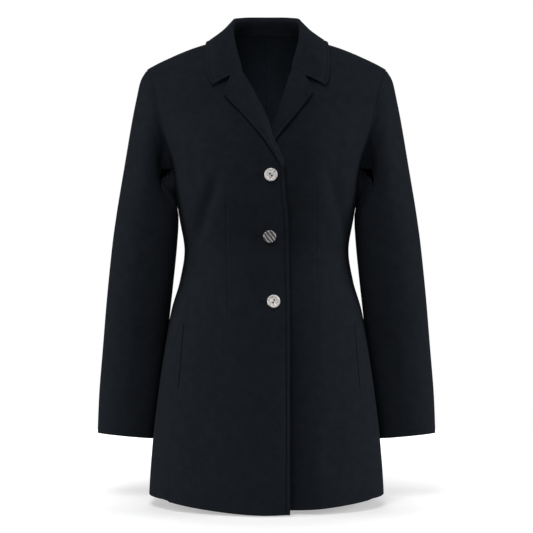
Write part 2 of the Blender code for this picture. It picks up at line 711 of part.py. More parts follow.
def add_collar():
    left = collar_stations(LEFT)
    right = collar_stations(RIGHT)
    right[:, :, 0] *= -1
    middle = np.vstack([right[::-1], left[1:]])
    pull_in(middle, "first_row", GORGE_GAP)
    pull_in(middle, "last_row", GORGE_GAP)
    outer, inner = thick(middle, COLLAR_WALL)
    wall("collar", outer, inner)


def lapel_point(roll, notch, tip, share, bend):
    """A point between the roll line and the outer edge, on a line that bends at the notch."""
    straight = roll + (tip - roll) * share
    if share <= NOTCH_SHARE:
        bent = roll + (notch - roll) * share / NOTCH_SHARE
    else:
        bent = notch + (tip - notch) * (share - NOTCH_SHARE) / (1 - NOTCH_SHARE)
    return straight + (bent - straight) * bend


def add_lapel(side, edge_points, edge_normals):
    """The top of a front and its facing, folded out. Rows run up from the top button."""
    edge_rows = through([(k, x, z) for k, (z, x) in enumerate(LAPEL_EDGE)])
    roll_levels = through(list(enumerate(LAPEL_ROLL_LEVELS)))
    gorge = COLLAR[-1]
    to_notch = np.array([gorge.edge_x - gorge.fold_x, gorge.edge_z - gorge.fold_z]) * NOTCH_SHARE
    back_off = WALL + FOLD_CLEARANCE + LAPEL_WALL / 2
    radius = back_off - WALL / 2
    grid = []
    for k in range(LAPEL_ROWS):
        up = k / (LAPEL_ROWS - 1)
        place = up * (len(LAPEL_EDGE) - 1)
        level = float(roll_levels(place)[0])
        base = at_height(level, edge_points)
        normal = unit(at_height(level, edge_points, edge_normals))
        along = unit(at_height(level + 4, edge_points) - at_height(level - 4, edge_points))
        opening = unit(np.cross(along, normal))
        if opening[0] > 0:
            opening = -opening
        profile = [base - normal * back_off - opening * INSIDE_STRIP, base - normal * back_off]
        for angle in (-45, 0, 45, 90):
            turn = math.radians(angle)
            bent = opening * math.cos(turn) + normal * math.sin(turn)
            profile.append(base - normal * WALL / 2 + bent * radius)
        tip = edge_rows(place)
        tip[0] += side * closing(tip[1])
        roll = base[[0, 2]]
        bend = max((up - NOTCH_BEND_FROM) / (1 - NOTCH_BEND_FROM), 0) ** 2
        for share in LAPEL_SHARES:
            x, z = lapel_point(roll, roll + to_notch, tip, share, bend)
            profile.append(turned_out(x, z, side, share))
        grid.append(profile)
    middle = np.array(grid)
    pull_in(middle, "last_row", GORGE_GAP)
    outer, inner = thick(middle, LAPEL_WALL)
    wall("lapel_" + SIDE_NAMES[side], outer, inner, side)


# ---- buttons ----

def add_button(button):
    """A turned disc with a raised rim, and two sewing holes where it has them, flat on the upper front."""
    own_x = -button.x
    spot = surface(own_x, button.height, FRONT, RIGHT)
    normal = outward(own_x, button.height, FRONT, RIGHT)
    spot = Vector((button.x, spot[1], spot[2]))
    normal = Vector((-normal[0], normal[1], normal[2]))
    half = BUTTON_THICKNESS / 2
    lowest = BUTTON_SHANK
    profile = [(0, half - BUTTON_DISH), (BUTTON_RADIUS - BUTTON_RIM - 0.8, half - BUTTON_DISH),
               (BUTTON_RADIUS - BUTTON_RIM, half), (BUTTON_RADIUS - BUTTON_BEVEL, half),
               (BUTTON_RADIUS, half - BUTTON_BEVEL), (BUTTON_RADIUS, -half + BUTTON_BEVEL),
               (BUTTON_RADIUS - BUTTON_BEVEL, -half), (0, -half)]
    bm = bmesh.new()
    verts = [bm.verts.new((x * METRE, 0, z * METRE)) for x, z in profile]
    edges = [bm.edges.new(pair) for pair in zip(verts, verts[1:])]
    bmesh.ops.spin(bm, geom=verts + edges, cent=(0, 0, 0), axis=(0, 0, 1), angle=2 * math.pi, steps=28,
                   use_merge=True)
    bmesh.ops.remove_doubles(bm, verts=bm.verts, dist=0.01 * METRE)
    bmesh.ops.recalc_face_normals(bm, faces=bm.faces)
    mesh = bpy.data.meshes.new(button.name)
    bm.to_mesh(mesh)
    bm.free()
    mesh.shade_smooth()
    mesh.set_sharp_from_angle(angle=math.radians(40))
    disc = add_object(button.name, mesh, PEARL if button.holed else DARK_HORN)
    place = Matrix.Translation((spot + normal * (lowest + half)) * METRE)
    disc.matrix_world = place @ normal.to_track_quat("Z", "Y").to_matrix().to_4x4()
    if not button.holed:
        return
    for number, offset in enumerate((-HOLE_SPACING / 2, HOLE_SPACING / 2)):
        bpy.ops.mesh.primitive_cylinder_add(vertices=12, radius=HOLE_RADIUS * METRE,
                                            depth=3 * BUTTON_THICKNESS * METRE)
        cutter = bpy.context.active_object
        cutter.name = f"{button.name}_hole_{number + 1}"
        for used in list(cutter.users_collection):
            used.objects.unlink(cutter)
        collection("cutters").objects.link(cutter)
        off = Vector((math.cos(HOLE_TURN), math.sin(HOLE_TURN), 0)) * offset * METRE
        across = Matrix.Translation(off)
        cutter.matrix_world = disc.matrix_world @ across
        cutter.hide_render = True
        cutter.display_type = "WIRE"
        cut = disc.modifiers.new(cutter.name, "BOOLEAN")
        cut.operation = "DIFFERENCE"
        cut.object = cutter


def main():
    for old in list(bpy.data.objects):
        bpy.data.objects.remove(old)
    for side in (LEFT, RIGHT):
        loop, loop_normals, pocket_seam, front_edge = add_panels(side)
        add_sleeve(side, loop, loop_normals)
        add_pocket_facing(side, *pocket_seam)
        add_lapel(side, *front_edge)
    add_collar()
    for button in BUTTONS:
        add_button(button)


main()
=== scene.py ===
import math
from collections import namedtuple

import bmesh
import bpy
import numpy as np
from mathutils import Matrix, Vector


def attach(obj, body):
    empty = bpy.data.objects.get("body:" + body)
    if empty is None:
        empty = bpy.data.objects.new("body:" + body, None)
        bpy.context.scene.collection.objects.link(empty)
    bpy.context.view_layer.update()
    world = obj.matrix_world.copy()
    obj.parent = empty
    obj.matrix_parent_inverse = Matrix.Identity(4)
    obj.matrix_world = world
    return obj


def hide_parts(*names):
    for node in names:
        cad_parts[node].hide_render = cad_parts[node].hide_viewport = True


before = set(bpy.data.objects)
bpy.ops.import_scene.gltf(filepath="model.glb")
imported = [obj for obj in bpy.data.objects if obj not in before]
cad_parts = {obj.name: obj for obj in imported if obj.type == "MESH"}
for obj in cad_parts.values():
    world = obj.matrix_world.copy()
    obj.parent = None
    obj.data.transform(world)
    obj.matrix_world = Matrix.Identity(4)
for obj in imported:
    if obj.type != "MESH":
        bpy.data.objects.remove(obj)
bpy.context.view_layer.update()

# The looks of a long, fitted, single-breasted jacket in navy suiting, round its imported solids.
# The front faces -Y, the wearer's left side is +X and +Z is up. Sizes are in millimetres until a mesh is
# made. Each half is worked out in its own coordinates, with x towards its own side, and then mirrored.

METRE = 0.001
FRONT = -1
BACK = 1
LEFT = 1
RIGHT = -1
SIDE_NAMES = {LEFT: "left", RIGHT: "right"}

# Cloth
WALL = 2.2
LAPEL_WALL = 2.6
COLLAR_WALL = 2.4
FOLD_CLEARANCE = 1

# Heights on the body
UNDERARM = -256
PANEL_TOP = -205
SIDE_HEM = -745.5
FRONT_HEM_DIP = 18.5
BACK_HEM_DIP = 10
UNDER_FRONT_SHORTER = 4
HEM_HALF_WIDTH = 190
HEM_CURVE = 1.6

# The slope from the shoulder's crest to the full depth of chest and back
SHOULDER_DROP = 160
DROP_POWER = 2.2
CREST_POWER = 0.75

# Bust, one soft rise on each side of the front
BUST_OFFSET = 84
BUST_HEIGHT = -208
BUST_RISE = 7
BUST_SPREAD_X = 46
BUST_SPREAD_Z = 58

# Sections of the body: height, half width, depths in front and behind, how square they are, y at the widest
BODY = (
    (20, 300, 100, 92, 2.6, 2.4, 0), (-45, 265, 100, 100, 2.6, 2.4, 0),
    (-92, 220, 100, 106, 2.6, 2.4, 0), (-133, 190, 112, 110, 2.6, 2.4, 0),
    (-165, 171, 125, 112, 2.6, 2.4, 0), (-205, 157, 131, 113, 2.6, 2.4, 0),
    (-242, 152, 130, 112, 2.55, 2.35, 0), (-290, 144.3, 122, 106, 2.4, 2.3, 0),
    (-342, 136.4, 111, 101, 2.25, 2.2, -2), (-392, 144, 110, 109, 2.2, 2.2, -5),
    (-440, 158, 112, 125, 2.2, 2.2, -9), (-508, 169.8, 113, 143, 2.2, 2.2, -13),
    (-592, 181.8, 115, 150, 2.2, 2.2, -15), (-658, 189.6, 117, 150, 2.2, 2.2, -15),
    (-747, 196, 119, 148, 2.2, 2.2, -15), (-790, 197.5, 119, 148, 2.2, 2.2, -15),
)

# The crest of neck and shoulders: distance from the centre, height
SHOULDER = ((70, 5), (98, 0), (117, -5.6), (137, -13), (163.5, -24.6), (180, -32.4), (198, -42.5),
            (215, -54))
CREST_IN_FRONT = ((0, 8), (40, 7)) + SHOULDER
CREST_BEHIND = ((0, 66), (30, 58), (45, 46), (54, 33), (62, 18)) + SHOULDER

# The line on which the fronts close: height, x
CLOSING_LINE = ((20, 0), (-45, 2.4), (-90, 5.4), (-117, 7.3), (-150, 7.5), (-342, 8), (-440, 10.5),
                (-790, 11.5))
# The fronts' edges: height, distance from the closing line towards the front's own side
NECKLINE = ((5, 70), (-4, 69.3), (-17, 65.5), (-29, 59.5), (-39, 52.5), (-48, 45))
ROLL_LINE = ((-64, 35.4), (-90, 23.5), (-117, 11.6))
ROLL_END = {LEFT: ((-135, 4.2), (-153, -3.5), (-173, -12), (-190, -18)),
            RIGHT: ((-135, 5.2), (-153, -0.3), (-173, -9.3), (-190, -16.2))}
CLOSED_EDGE = ((-204, -20.2), (-240, -23.2), (-290, -27.5), (-342, -28), (-440, -27.5), (-790, -27))
CLOSED_FROM = -196

# Height, how far the under front lies inside the body's surface near the closing line, the upper one outside
LAYERS = ((0, 0, 0), (-60, 2, 0.5), (-110, 9, 2), (-150, 16, 2.8), (-198, 13, 3.2), (-230, 9, 3),
          (-450, 10, 3), (-600, 14, 3.6), (-790, 20, 4.2))
LAYERS_FROM = 20
LAYERS_REACH = 75

# Armholes: height, distance from the centre in front and behind
ARMHOLE = ((-42.5, 198, 198), (-58, 189.5, 193), (-75, 184, 189), (-92, 180, 186.5), (-133, 170, 179),
           (-167, 161.5, 169), (-192, 156.3, 158.5), (-205, 154.5, 155))
# The side panels' long seams: height, share of the half width in front and behind
SIDE_SEAMS = ((-205, 0.984, 0.987), (-242, 0.962, 0.94), (-290, 0.945, 0.89), (-342, 0.93, 0.85),
              (-392, 0.90, 0.82), (-440, 0.875, 0.80), (-508, 0.85, 0.785), (-570, 0.838, 0.78),
              (-658, 0.845, 0.78), (-790, 0.85, 0.78))
SEAM_TURN = 4.5
SEAM_TURN_FROM = -260
SEAM_TURN_TO = -440

# Pockets in the front seams of the side panels
POCKET_TOP = -452
POCKET_BOTTOM = -568
# The heights where the opening ends below, is full, narrows and ends above
POCKET_HEIGHTS = (POCKET_BOTTOM, POCKET_BOTTOM + 8, POCKET_TOP - 8, POCKET_TOP)
POCKET_OPEN = 1
FACING_WIDTH = 18
FACING_BOW = 1.3
FACING_WALL = 1.2
FACING_LENGTH = 128
FACING_BEHIND = 3.1

# Sleeves: share of the way down, x and z outside and inside as seen from the front, y of the middle, half
# depth, how much of the armhole's own shape is left, how much higher the front lies than the middle
SLEEVE = (
    (0, 198, -42.5, 150, -256, -4, 53, 1, 0), (0.027, 206, -57, 149.8, -258, -4, 54, 0.93, 0),
    (0.057, 212, -75, 149.4, -261, -3, 56, 0.84, 0), (0.106, 218.8, -105, 148.8, -265, -3, 59, 0.7, 0),
    (0.167, 226, -143, 148.2, -270, -2, 61.5, 0.52, 0), (0.238, 233.5, -187, 147.6, -276, -1, 63, 0.32, 0),
    (0.31, 241, -231, 146.2, -285, 0, 63.5, 0.14, 0), (0.38, 248.3, -275, 146.4, -300, 1, 63.5, 0, 0),
    (0.46, 255.7, -325, 149.2, -338, 3, 62, 0, 0.5), (0.54, 261.6, -375, 154.2, -386, 6, 59.5, 0, 1),
    (0.62, 267, -425, 160, -437, 11, 56.5, 0, 1.5), (0.752, 275, -508, 169, -516, 24, 52, 0, 2.5),
    (0.886, 282.4, -594, 180, -602, 29, 47, 0, 3.5), (1, 285, -652.5, 187.5, -662, 31, 43, 0, 4.5),
)
# How far a sleeve's section swells past an ellipse, halfway between its front and its side
SECTION_SWELL = 0.04

# Collar: the seam on the neckline, the fold on top and the outer edge of the fall, from centre back to gorge
NeckStation = namedtuple(
    "NeckStation", "face seam_x seam_z fold_x fold_y fold_z edge_x edge_z arch lies_flat")
COLLAR = [NeckStation(*row) for row in (
    (BACK, 0, 15, 0, 53, 43.5, 0, -2, 5, 0), (BACK, 28, 14, 24, 49, 43.5, 41, -3, 5, 0),
    (BACK, 50, 11.5, 42, 35, 42.5, 73, -7, 4, 0), (BACK, 64, 8, 52, 17, 40, 92, -6, 0.5, 0),
    (BACK, 70, 5, 54.5, 0, 33.5, 98.5, -0.6, -1, 0), (FRONT, 69.3, -4, 55, -15, 21, 100.5, -9, 1, 0),
    (FRONT, 65.5, -17, 53, -32, 3, 100.5, -27, 4, 0.15),
    (FRONT, 59.5, -29, 49.5, -46, -13, 99, -45, 6.5, 0.5),
    (FRONT, 52.5, -39, 45.5, -58, -29, 96, -61, 6.5, 0.85),
    (FRONT, 45, -48, 42.4, -67.5, -46.5, 90, -70, 6.5, 1),
)]
FOLD_RADIUS = 2.3
BACK_FOLD_RADIUS = 4.6
BACK_FOLD_Y = 50
STAND_SINK = 0.6
COLLAR_SNUG = 3
ON_CREST_WITHIN = 1.5
LEFT_FOLD_INWARDS = 4

# Lapels: their outer edge, from the top button up to the tip, as height and distance from the closing line
LAPEL_EDGE = ((-204, -16.4), (-194, -14.4), (-184, -9.8), (-170, -0.4), (-150, 13.8), (-130, 31),
              (-108, 51.5), (-92, 67.5), (-80.5, 77))
# How far the edge and the tip lie further in, and the tip higher, on each side
LapelMove = namedtuple("LapelMove", "edge_in tip_in tip_up")
LAPEL_MOVES = {LEFT: LapelMove(4.5, 1.5, 4), RIGHT: LapelMove(0, 2.6, 0)}
LAPEL_ROLL_LEVELS = (-200, -194, -183, -170, -156, -136, -108, -78, -48)
NOTCH_SHARE = 0.37
NOTCH_BEND_FROM = 0.6
INSIDE_STRIP = 7
# How far folded cloth stands off a front: share of the way to its edge, height
LIFTS = ((0, 2.1), (0.12, 4.6), (0.35, 6.8), (0.7, 7.2), (1, 6.6))

# Buttons
BUTTON_THICKNESS = 3.4
BUTTON_SHANK = 1.4
HOLE_SPACING = 4.4
Button = namedtuple("Button", "name height x holed turned")
BUTTONS = (Button("top_button", -210, 7, True, -46), Button("middle_button", -310, 5, False, 0),
           Button("lower_button", -416, 11.4, True, 62))


# ---- curves and the surface of the body ----

def through(rows):
    """A function for the smooth curve through rows of (place, value, ...), which never overshoots a row."""
    table = np.array(sorted(tuple(row) for row in rows), float)
    places, values = table[:, 0], table[:, 1:]
    steps = np.diff(places)[:, None]
    slopes = np.diff(values, axis=0) / steps
    before, after = slopes[:-1], slopes[1:]
    weight_before = 2 * steps[1:] + steps[:-1]
    weight_after = steps[1:] + 2 * steps[:-1]
    same_way = before * after > 0
    safe_before = np.where(same_way, before, 1)
    safe_after = np.where(same_way, after, 1)
    mean = (weight_before + weight_after) / (weight_before / safe_before + weight_after / safe_after)
    tangents = np.vstack([slopes[:1], np.where(same_way, mean, 0), slopes[-1:]])

    def at(place):
        place = np.clip(np.asarray(place, float), places[0], places[-1])
        k = np.clip(np.searchsorted(places, place, side="right") - 1, 0, len(steps) - 1)
        step = steps[k]
        t = ((place - places[k]) / steps[k, 0])[..., None]
        return ((1 + 2 * t) * (1 - t) ** 2 * values[k] + t * (1 - t) ** 2 * step * tangents[k]
                + t * t * (3 - 2 * t) * values[k + 1] + t * t * (t - 1) * step * tangents[k + 1])

    return at


body_at = through(BODY)
crest_at = {FRONT: through(CREST_IN_FRONT), BACK: through(CREST_BEHIND)}
closing_at = through(CLOSING_LINE)
layers_at = through(LAYERS)
side_seams_at = through(SIDE_SEAMS)
sleeve_at = through(SLEEVE)
lift_at = through(LIFTS)


def unit(vectors):
    return vectors / np.linalg.norm(vectors, axis=-1, keepdims=True)


def smooth(t):
    t = np.clip(t, 0, 1)
    return t * t * (3 - 2 * t)


def between(value, start, full, thin, end):
    """1 from full to thin, and a soft fall to 0 at the start and the end."""
    return smooth((value - start) / (full - start)) * smooth((end - value) / (end - thin))


def ridge(distance, width):
    return np.exp(-(distance / width) ** 2)


def crest(x, face):
    return crest_at[face](abs(x))[..., 0]


def closing(z):
    return closing_at(z)[..., 0]


def bust(x, z):
    along = (z - BUST_HEIGHT) / BUST_SPREAD_Z
    return sum(BUST_RISE * np.exp(-0.5 * (((x - centre) / BUST_SPREAD_X) ** 2 + along ** 2))
               for centre in (-BUST_OFFSET, BUST_OFFSET))


def body_depth(x, z, face):
    half_width, front_depth, back_depth, front_power, back_power, widest_y = np.moveaxis(body_at(z), -1, 0)
    depth, power = (front_depth, front_power) if face == FRONT else (back_depth, back_power)
    across = np.minimum(abs(x) / half_width, 1)
    full = depth * (1 - across ** power) ** (1 / power)
    drop = np.clip((crest(x, face) - z) / SHOULDER_DROP, 0, 1)
    fade = (1 - (1 - drop) ** DROP_POWER) ** CREST_POWER
    if face == FRONT:
        full = full + bust(x, z) * (1 - across ** 6)
    return full * fade + face * widest_y


def layer(side, x, z):
    """How far a front lies outside the body's surface, near the closing line."""
    under, upper = np.moveaxis(layers_at(z), -1, 0)
    share = 1 - smooth((x - LAYERS_FROM) / LAYERS_REACH)
    return share * (upper if side == RIGHT else -under)


def surface(x, z, face, side=None):
    x, z = np.broadcast_arrays(np.asarray(x, float), np.asarray(z, float))
    y = face * body_depth(x, z, face)
    if side and face == FRONT:
        y = y - layer(side, x, z)
    return np.stack([x, y, z], axis=-1)


def outward(x, z, face, side=None):
    """The surface's normal there, pointing out of the body."""
    slope_x = (surface(x + 0.5, z, face, side) - surface(x - 0.5, z, face, side))[..., 1]
    slope_z = (surface(x, z + 0.5, face, side) - surface(x, z - 0.5, face, side))[..., 1]
    return unit(np.stack([-slope_x * face, np.full_like(slope_x, face), -slope_z * face], axis=-1))


def crest_normal(x, face):
    slope = crest(x + 0.5, face) - crest(x - 0.5, face)
    return unit(np.stack([-slope, 0 * slope, 1 + 0 * slope], axis=-1))


def hem(x, face, side=RIGHT):
    share = 1 - np.minimum(abs(x) / HEM_HALF_WIDTH, 1) ** HEM_CURVE
    if face == BACK:
        return SIDE_HEM - BACK_HEM_DIP * share
    return SIDE_HEM - (FRONT_HEM_DIP - (UNDER_FRONT_SHORTER if side == LEFT else 0)) * share


def row_height(x, row, face, side=RIGHT):
    """Rows 0 to 1 run from the shoulder to the top of the side panel, and rows 1 to 2 on to the hem."""
    above = crest(x, face) * (1 - row) + PANEL_TOP * row
    below = PANEL_TOP + (hem(x, face, side) - PANEL_TOP) * (row - 1)
    return np.where(row < 1, above, below)


def row_of(x, z, face):
    above = (crest(x, face) - z) / (crest(x, face) - PANEL_TOP)
    below = 1 + (z - PANEL_TOP) / (hem(x, face) - PANEL_TOP)
    return np.where(z > PANEL_TOP, above, below)


def seam_x(z, face, side):
    """The long seam in front of, or behind, a side panel, on its own side."""
    share = side_seams_at(z)[..., 0 if face == FRONT else 1]
    turn = smooth((SEAM_TURN_FROM - z) / (SEAM_TURN_FROM - SEAM_TURN_TO))
    return body_at(z)[..., 0] * share + side * SEAM_TURN * turn * (face == FRONT)


armhole_x_at = {FRONT: through([(float(row_of(x, z, FRONT)), x) for z, x, _ in ARMHOLE]),
                BACK: through([(float(row_of(x, z, BACK)), x) for z, _, x in ARMHOLE])}


def outer_edge_x(row, face, side):
    z = PANEL_TOP + (SIDE_HEM - PANEL_TOP) * (row - 1)
    return np.where(row <= 1, armhole_x_at[face](row)[..., 0], seam_x(z, face, side))


def front_edge_rows(side):
    rows = []
    for z, distance in NECKLINE + ROLL_LINE + ROLL_END[side] + CLOSED_EDGE[:-1]:
        x = side * float(closing(z)) + distance
        rows.append((float(row_of(x, z, FRONT)), x))
    rows.append((2.0, side * float(closing(SIDE_HEM)) + CLOSED_EDGE[-1][1]))
    return through(rows)


front_edge_x_at = {side: front_edge_rows(side) for side in (LEFT, RIGHT)}


# ---- soft creases ----

# From x and z, to x and z, width, and the height by which the crease stands out or sinks
FRONT_CREASES = (
    (-132, -120, -124, -268, 8, 1.3), (-121, -128, -112, -250, 7, -1.2), (-72, -190, -124, -345, 10, -7.5),
    (-101, -262, -112, -420, 12, -1.2), (133, -124, 124, -276, 8, 1.2), (120, -136, 113, -244, 7, -1.1),
    (96, -186, 140, -334, 10, -7), (104, -250, 108, -402, 13, -1.1), (-60, -352, -22, -372, 11, 0.7),
    (52, -330, 96, -352, 12, 0.6), (-120, -560, -96, -740, 18, -1.3), (-70, -520, -62, -735, 20, 0.9),
    (122, -545, 104, -742, 17, -1.2), (76, -530, 60, -738, 19, 0.9), (38, -420, 42, -770, 13, -3.6),
    (-40, -470, -36, -740, 16, 0.6), (-54.7, -44.4, -80, -89.1, 5, -2.4), (58, -43.8, 86.6, -83.3, 5, -2.4),
)
BACK_CREASES = (
    (-128, -118, -118, -268, 9, 1.2), (-112, -120, -104, -256, 8, -1.1), (126, -122, 119, -276, 9, 1.2),
    (111, -128, 104, -246, 8, -1.0), (-104, -330, -30, -356, 9, 0.8), (98, -338, 24, -362, 9, 0.8),
    (-96, -362, -36, -378, 8, -0.7), (90, -366, 40, -384, 8, -0.6), (-88, -500, -104, -740, 18, -1.4),
    (-40, -520, -48, -742, 17, 1.1), (84, -490, 98, -742, 18, -1.3), (36, -530, 46, -740, 18, 1.0),
)
# On a sleeve, from angle and place, to angle and place, width and height. Angle 0 is outermost and 90 in
# front, and the place is the share of the way from head to cuff
SLEEVE_CREASES = {
    LEFT: ((60, 0.03, 74, 0.34, 7, 0.9), (38, 0.02, 46, 0.30, 8, -0.8), (118, 0.42, 70, 0.50, 8, -1.0),
           (110, 0.47, 52, 0.56, 8, 0.8), (-70, 0.44, -130, 0.52, 8, -1.1), (-62, 0.50, -118, 0.57, 8, 0.8),
           (92, 0.60, 84, 0.97, 9, 0.7), (30, 0.55, 22, 0.95, 12, -0.6)),
    RIGHT: ((58, 0.03, 70, 0.30, 7, 0.9), (40, 0.02, 44, 0.33, 8, -0.8), (116, 0.40, 74, 0.47, 8, -1.0),
            (104, 0.46, 56, 0.53, 8, 0.8), (-72, 0.42, -128, 0.50, 8, -1.0), (-60, 0.49, -116, 0.55, 8, 0.8),
            (90, 0.58, 86, 0.96, 9, 0.7), (26, 0.60, 18, 0.96, 12, -0.6)),
}
SLEEVE_ACROSS = 0.9
SLEEVE_LENGTH = 605
CREASE_FADE = 0.35


def soft_line(a, b, start, end, width):
    """1 on a line between two places, fading softly to each side and towards both ends."""
    run = np.array([end[0] - start[0], end[1] - start[1]], float)
    length = np.hypot(*run)
    along = ((a - start[0]) * run[0] + (b - start[1]) * run[1]) / length ** 2
    off = ((a - start[0]) * run[1] - (b - start[1]) * run[0]) / length
    return ridge(off, width) * between(along, 0, CREASE_FADE, 1 - CREASE_FADE, 1)


def creased(x, z, creases):
    height = np.zeros(np.shape(x))
    for from_x, from_z, to_x, to_z, width, rise in creases:
        height = height + rise * soft_line(x, z, (from_x, from_z), (to_x, to_z), width)
    return height


# ---- cloth ----

def steps_along(points, axis):
    """The lengths between neighbouring points."""
    return np.linalg.norm(np.diff(points, axis=axis), axis=-1)


def set_all(thing, **settings):
    for name, value in settings.items():
        setattr(thing, name, value)
    return thing


def bend_grid(name, points, outwards, finishes, wall, offset, soft_edge):
    """A piece of cloth: a flat grid bent to these points, in rows and columns, and given its thickness."""
    rows, columns = points.shape[0] - 1, points.shape[1] - 1
    bm = bmesh.new()
    cloth_map = bm.loops.layers.uv.new("cloth")
    bmesh.ops.create_grid(bm, x_segments=columns, y_segments=rows, size=0.5)
    spots = {}
    for vert in bm.verts:
        spots[vert] = (round((vert.co.y + 0.5) * rows), round((vert.co.x + 0.5) * columns))
    across, down = np.zeros(points.shape[:2]), np.zeros(points.shape[:2])
    across[:, 1:] = np.cumsum(steps_along(points, 1), axis=1) * METRE
    down[1:] = np.cumsum(steps_along(points, 0), axis=0) * METRE
    for face in bm.faces:
        for corner in face.loops:
            spot = spots[corner.vert]
            corner[cloth_map].uv = (across[spot], down[spot])
        face.smooth = True
    for vert, spot in spots.items():
        vert.co = Vector(points[spot]) * METRE
    bm.normal_update()
    middle = next(vert for vert, spot in spots.items() if spot == (rows // 2, columns // 2))
    if middle.normal @ Vector(outwards[spots[middle]]) < 0:
        bmesh.ops.reverse_faces(bm, faces=bm.faces)
    mesh = bpy.data.meshes.new(name)
    bm.to_mesh(mesh)
    bm.free()
    piece = bpy.data.objects.new(name, mesh)
    bpy.context.scene.collection.objects.link(piece)
    for finish in finishes:
        mesh.materials.append(finish)
    set_all(piece.modifiers.new("thickness", "SOLIDIFY"), thickness=wall * METRE, offset=offset,
            material_offset=1, material_offset_rim=0)
    set_all(piece.modifiers.new("turned edge", "BEVEL"), width=soft_edge * METRE, segments=3,
            limit_method="ANGLE", angle_limit=math.radians(50))
    return piece


def mirrored(points, side):
    return points * np.array([side, 1, 1])


def grid_normals(points, row, column, outwards):
    """A grid's normals, on the side that faces this way at a row and a column."""
    normals = unit(np.cross(np.gradient(points, axis=0), np.gradient(points, axis=1)))
    return normals if normals[row, column] @ np.array(outwards) > 0 else -normals


def sew_piece(node, side, points, normals, lined, wall=WALL, offset=-1, soft_edge=0.7):
    """Bends a piece of cloth to its points and puts it in the place of its solid."""
    # Lined pieces take the lining, painted lighter as painted light, on their inner face
    finishes = (navy_cloth, lining_painted_lighter if lined else navy_cloth)
    piece = bend_grid(node + "_cloth", mirrored(points, side), mirrored(normals, side), finishes, wall,
                      offset, soft_edge)
    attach(piece, "root")
    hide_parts(node)


# ---- body panels ----

UPPER_STEPS = 44
LOWER_STEPS = 108
PANEL_ROWS = np.concatenate([np.linspace(0, 1, UPPER_STEPS + 1) ** 1.25,
                             np.linspace(1, 2, LOWER_STEPS + 1)[1:]])
FRONT_EDGE_COLUMNS = np.array([0, 0.8, 2, 3.4, 4.4, 4.9, 5.3, 5.7, 6.1, 6.7, 7.6, 9, 11.5])
DART_COLUMNS = np.array([-6, -3.4, -2, -1.1, -0.5, 0, 0.5, 1.1, 2, 3.4, 6])
SIDE_EDGE_COLUMNS = np.array([6, 3, 1.4, 0])
FRONT_DART = 72.5
FRONT_DART_TOP = -212
# The heights where a dart ends below, is full, thins and ends above
FRONT_DART_HEIGHTS = (-482, -422, -242, FRONT_DART_TOP)
DART_DEPTH = 0.55
DART_WIDTH = 1.1
EDGE_STITCH = 5.8
STITCH_GROOVE = 1.0
STITCH_WIDTH = 0.9
EDGE_RISE = 1.1
SIDE_STEPS = 22
BACK_STEPS = 34
BACK_DART = 82
BACK_DART_HEIGHTS = (-470, -410, -278, -238)
BACK_DART_DEPTH = 0.4
BACK_DART_WIDTH = 3.5


def front_columns(row, side):
    """The places of the columns across a front, crowded at its edge, its dart and its side seam."""
    inner = front_edge_x_at[side](row)[..., 0]
    outer = outer_edge_x(row, FRONT, side)
    z = row_height(inner, row, FRONT, side)
    dart = FRONT_DART + side * closing(z)
    dart_share = (dart - inner) / (outer - inner)
    bust_row = float(row_of(FRONT_DART, FRONT_DART_TOP, FRONT))
    at_bust = np.interp(bust_row, row, dart_share)
    dart_share = np.where(row < bust_row, at_bust, dart_share)
    dart = (inner + (outer - inner) * dart_share)[:, None]
    inner, outer = inner[:, None], outer[:, None]
    edge = inner + FRONT_EDGE_COLUMNS
    seam = outer - SIDE_EDGE_COLUMNS
    first, second = np.linspace(0, 1, 16)[1:-1], np.linspace(0, 1, 15)[1:-1]
    left_of_dart = edge[:, -1:] + (dart + DART_COLUMNS[0] - edge[:, -1:]) * first
    right_of_dart = dart + DART_COLUMNS[-1] + (seam[:, :1] - dart - DART_COLUMNS[-1]) * second
    return np.hstack([edge, left_of_dart, dart + DART_COLUMNS, right_of_dart, seam]), dart


def front_points(side):
    x, dart = front_columns(PANEL_ROWS, side)
    row = PANEL_ROWS[:, None]
    z = row_height(x, row, FRONT, side)
    points = surface(x, z, FRONT, side)
    normals = outward(x, z, FRONT, side)
    sunk = DART_DEPTH * ridge(x - dart, DART_WIDTH) * between(z, *FRONT_DART_HEIGHTS)
    closed = smooth((CLOSED_FROM - z) / 12)
    from_stitches = x - x[:, :1] - EDGE_STITCH
    edging = EDGE_RISE * smooth(-from_stitches / STITCH_WIDTH)
    edging = edging - STITCH_GROOVE * ridge(from_stitches, STITCH_WIDTH)
    height = creased(side * x, z, FRONT_CREASES) - sunk + edging * closed
    points = points + normals * height[..., None]
    normals[0] = crest_normal(x[0], FRONT)
    return points, normals


def back_points(side):
    neck = [(s.seam_x, s.seam_z) for s in COLLAR if s.face == BACK]
    row = PANEL_ROWS[:, None]
    outer = outer_edge_x(row, BACK, side)
    share = np.linspace(0, 1, BACK_STEPS + 1)[None]
    x = outer * share
    neck_top = through(neck)(x)[..., 0]
    top = np.where(x < neck[-1][0], neck_top, crest(x, BACK))
    z = np.where(row < 1, top * (1 - row) + PANEL_TOP * row, row_height(x, row, BACK))
    points = surface(x, z, BACK)
    normals = outward(x, z, BACK)
    sunk = BACK_DART_DEPTH * ridge(x - BACK_DART, BACK_DART_WIDTH) * between(z, *BACK_DART_HEIGHTS)
    height = creased(side * x, z, BACK_CREASES) - sunk
    points = points + normals * height[..., None]
    on_crest = x[0] >= neck[-1][0]
    normals[0, on_crest] = crest_normal(x[0, on_crest], BACK)
    return points, normals


def side_top(share):
    """The lowest part of the armhole, between the seams in front of and behind the side panel."""
    return UNDERARM + (PANEL_TOP - UNDERARM) * abs(2 * share - 1) ** 2.2


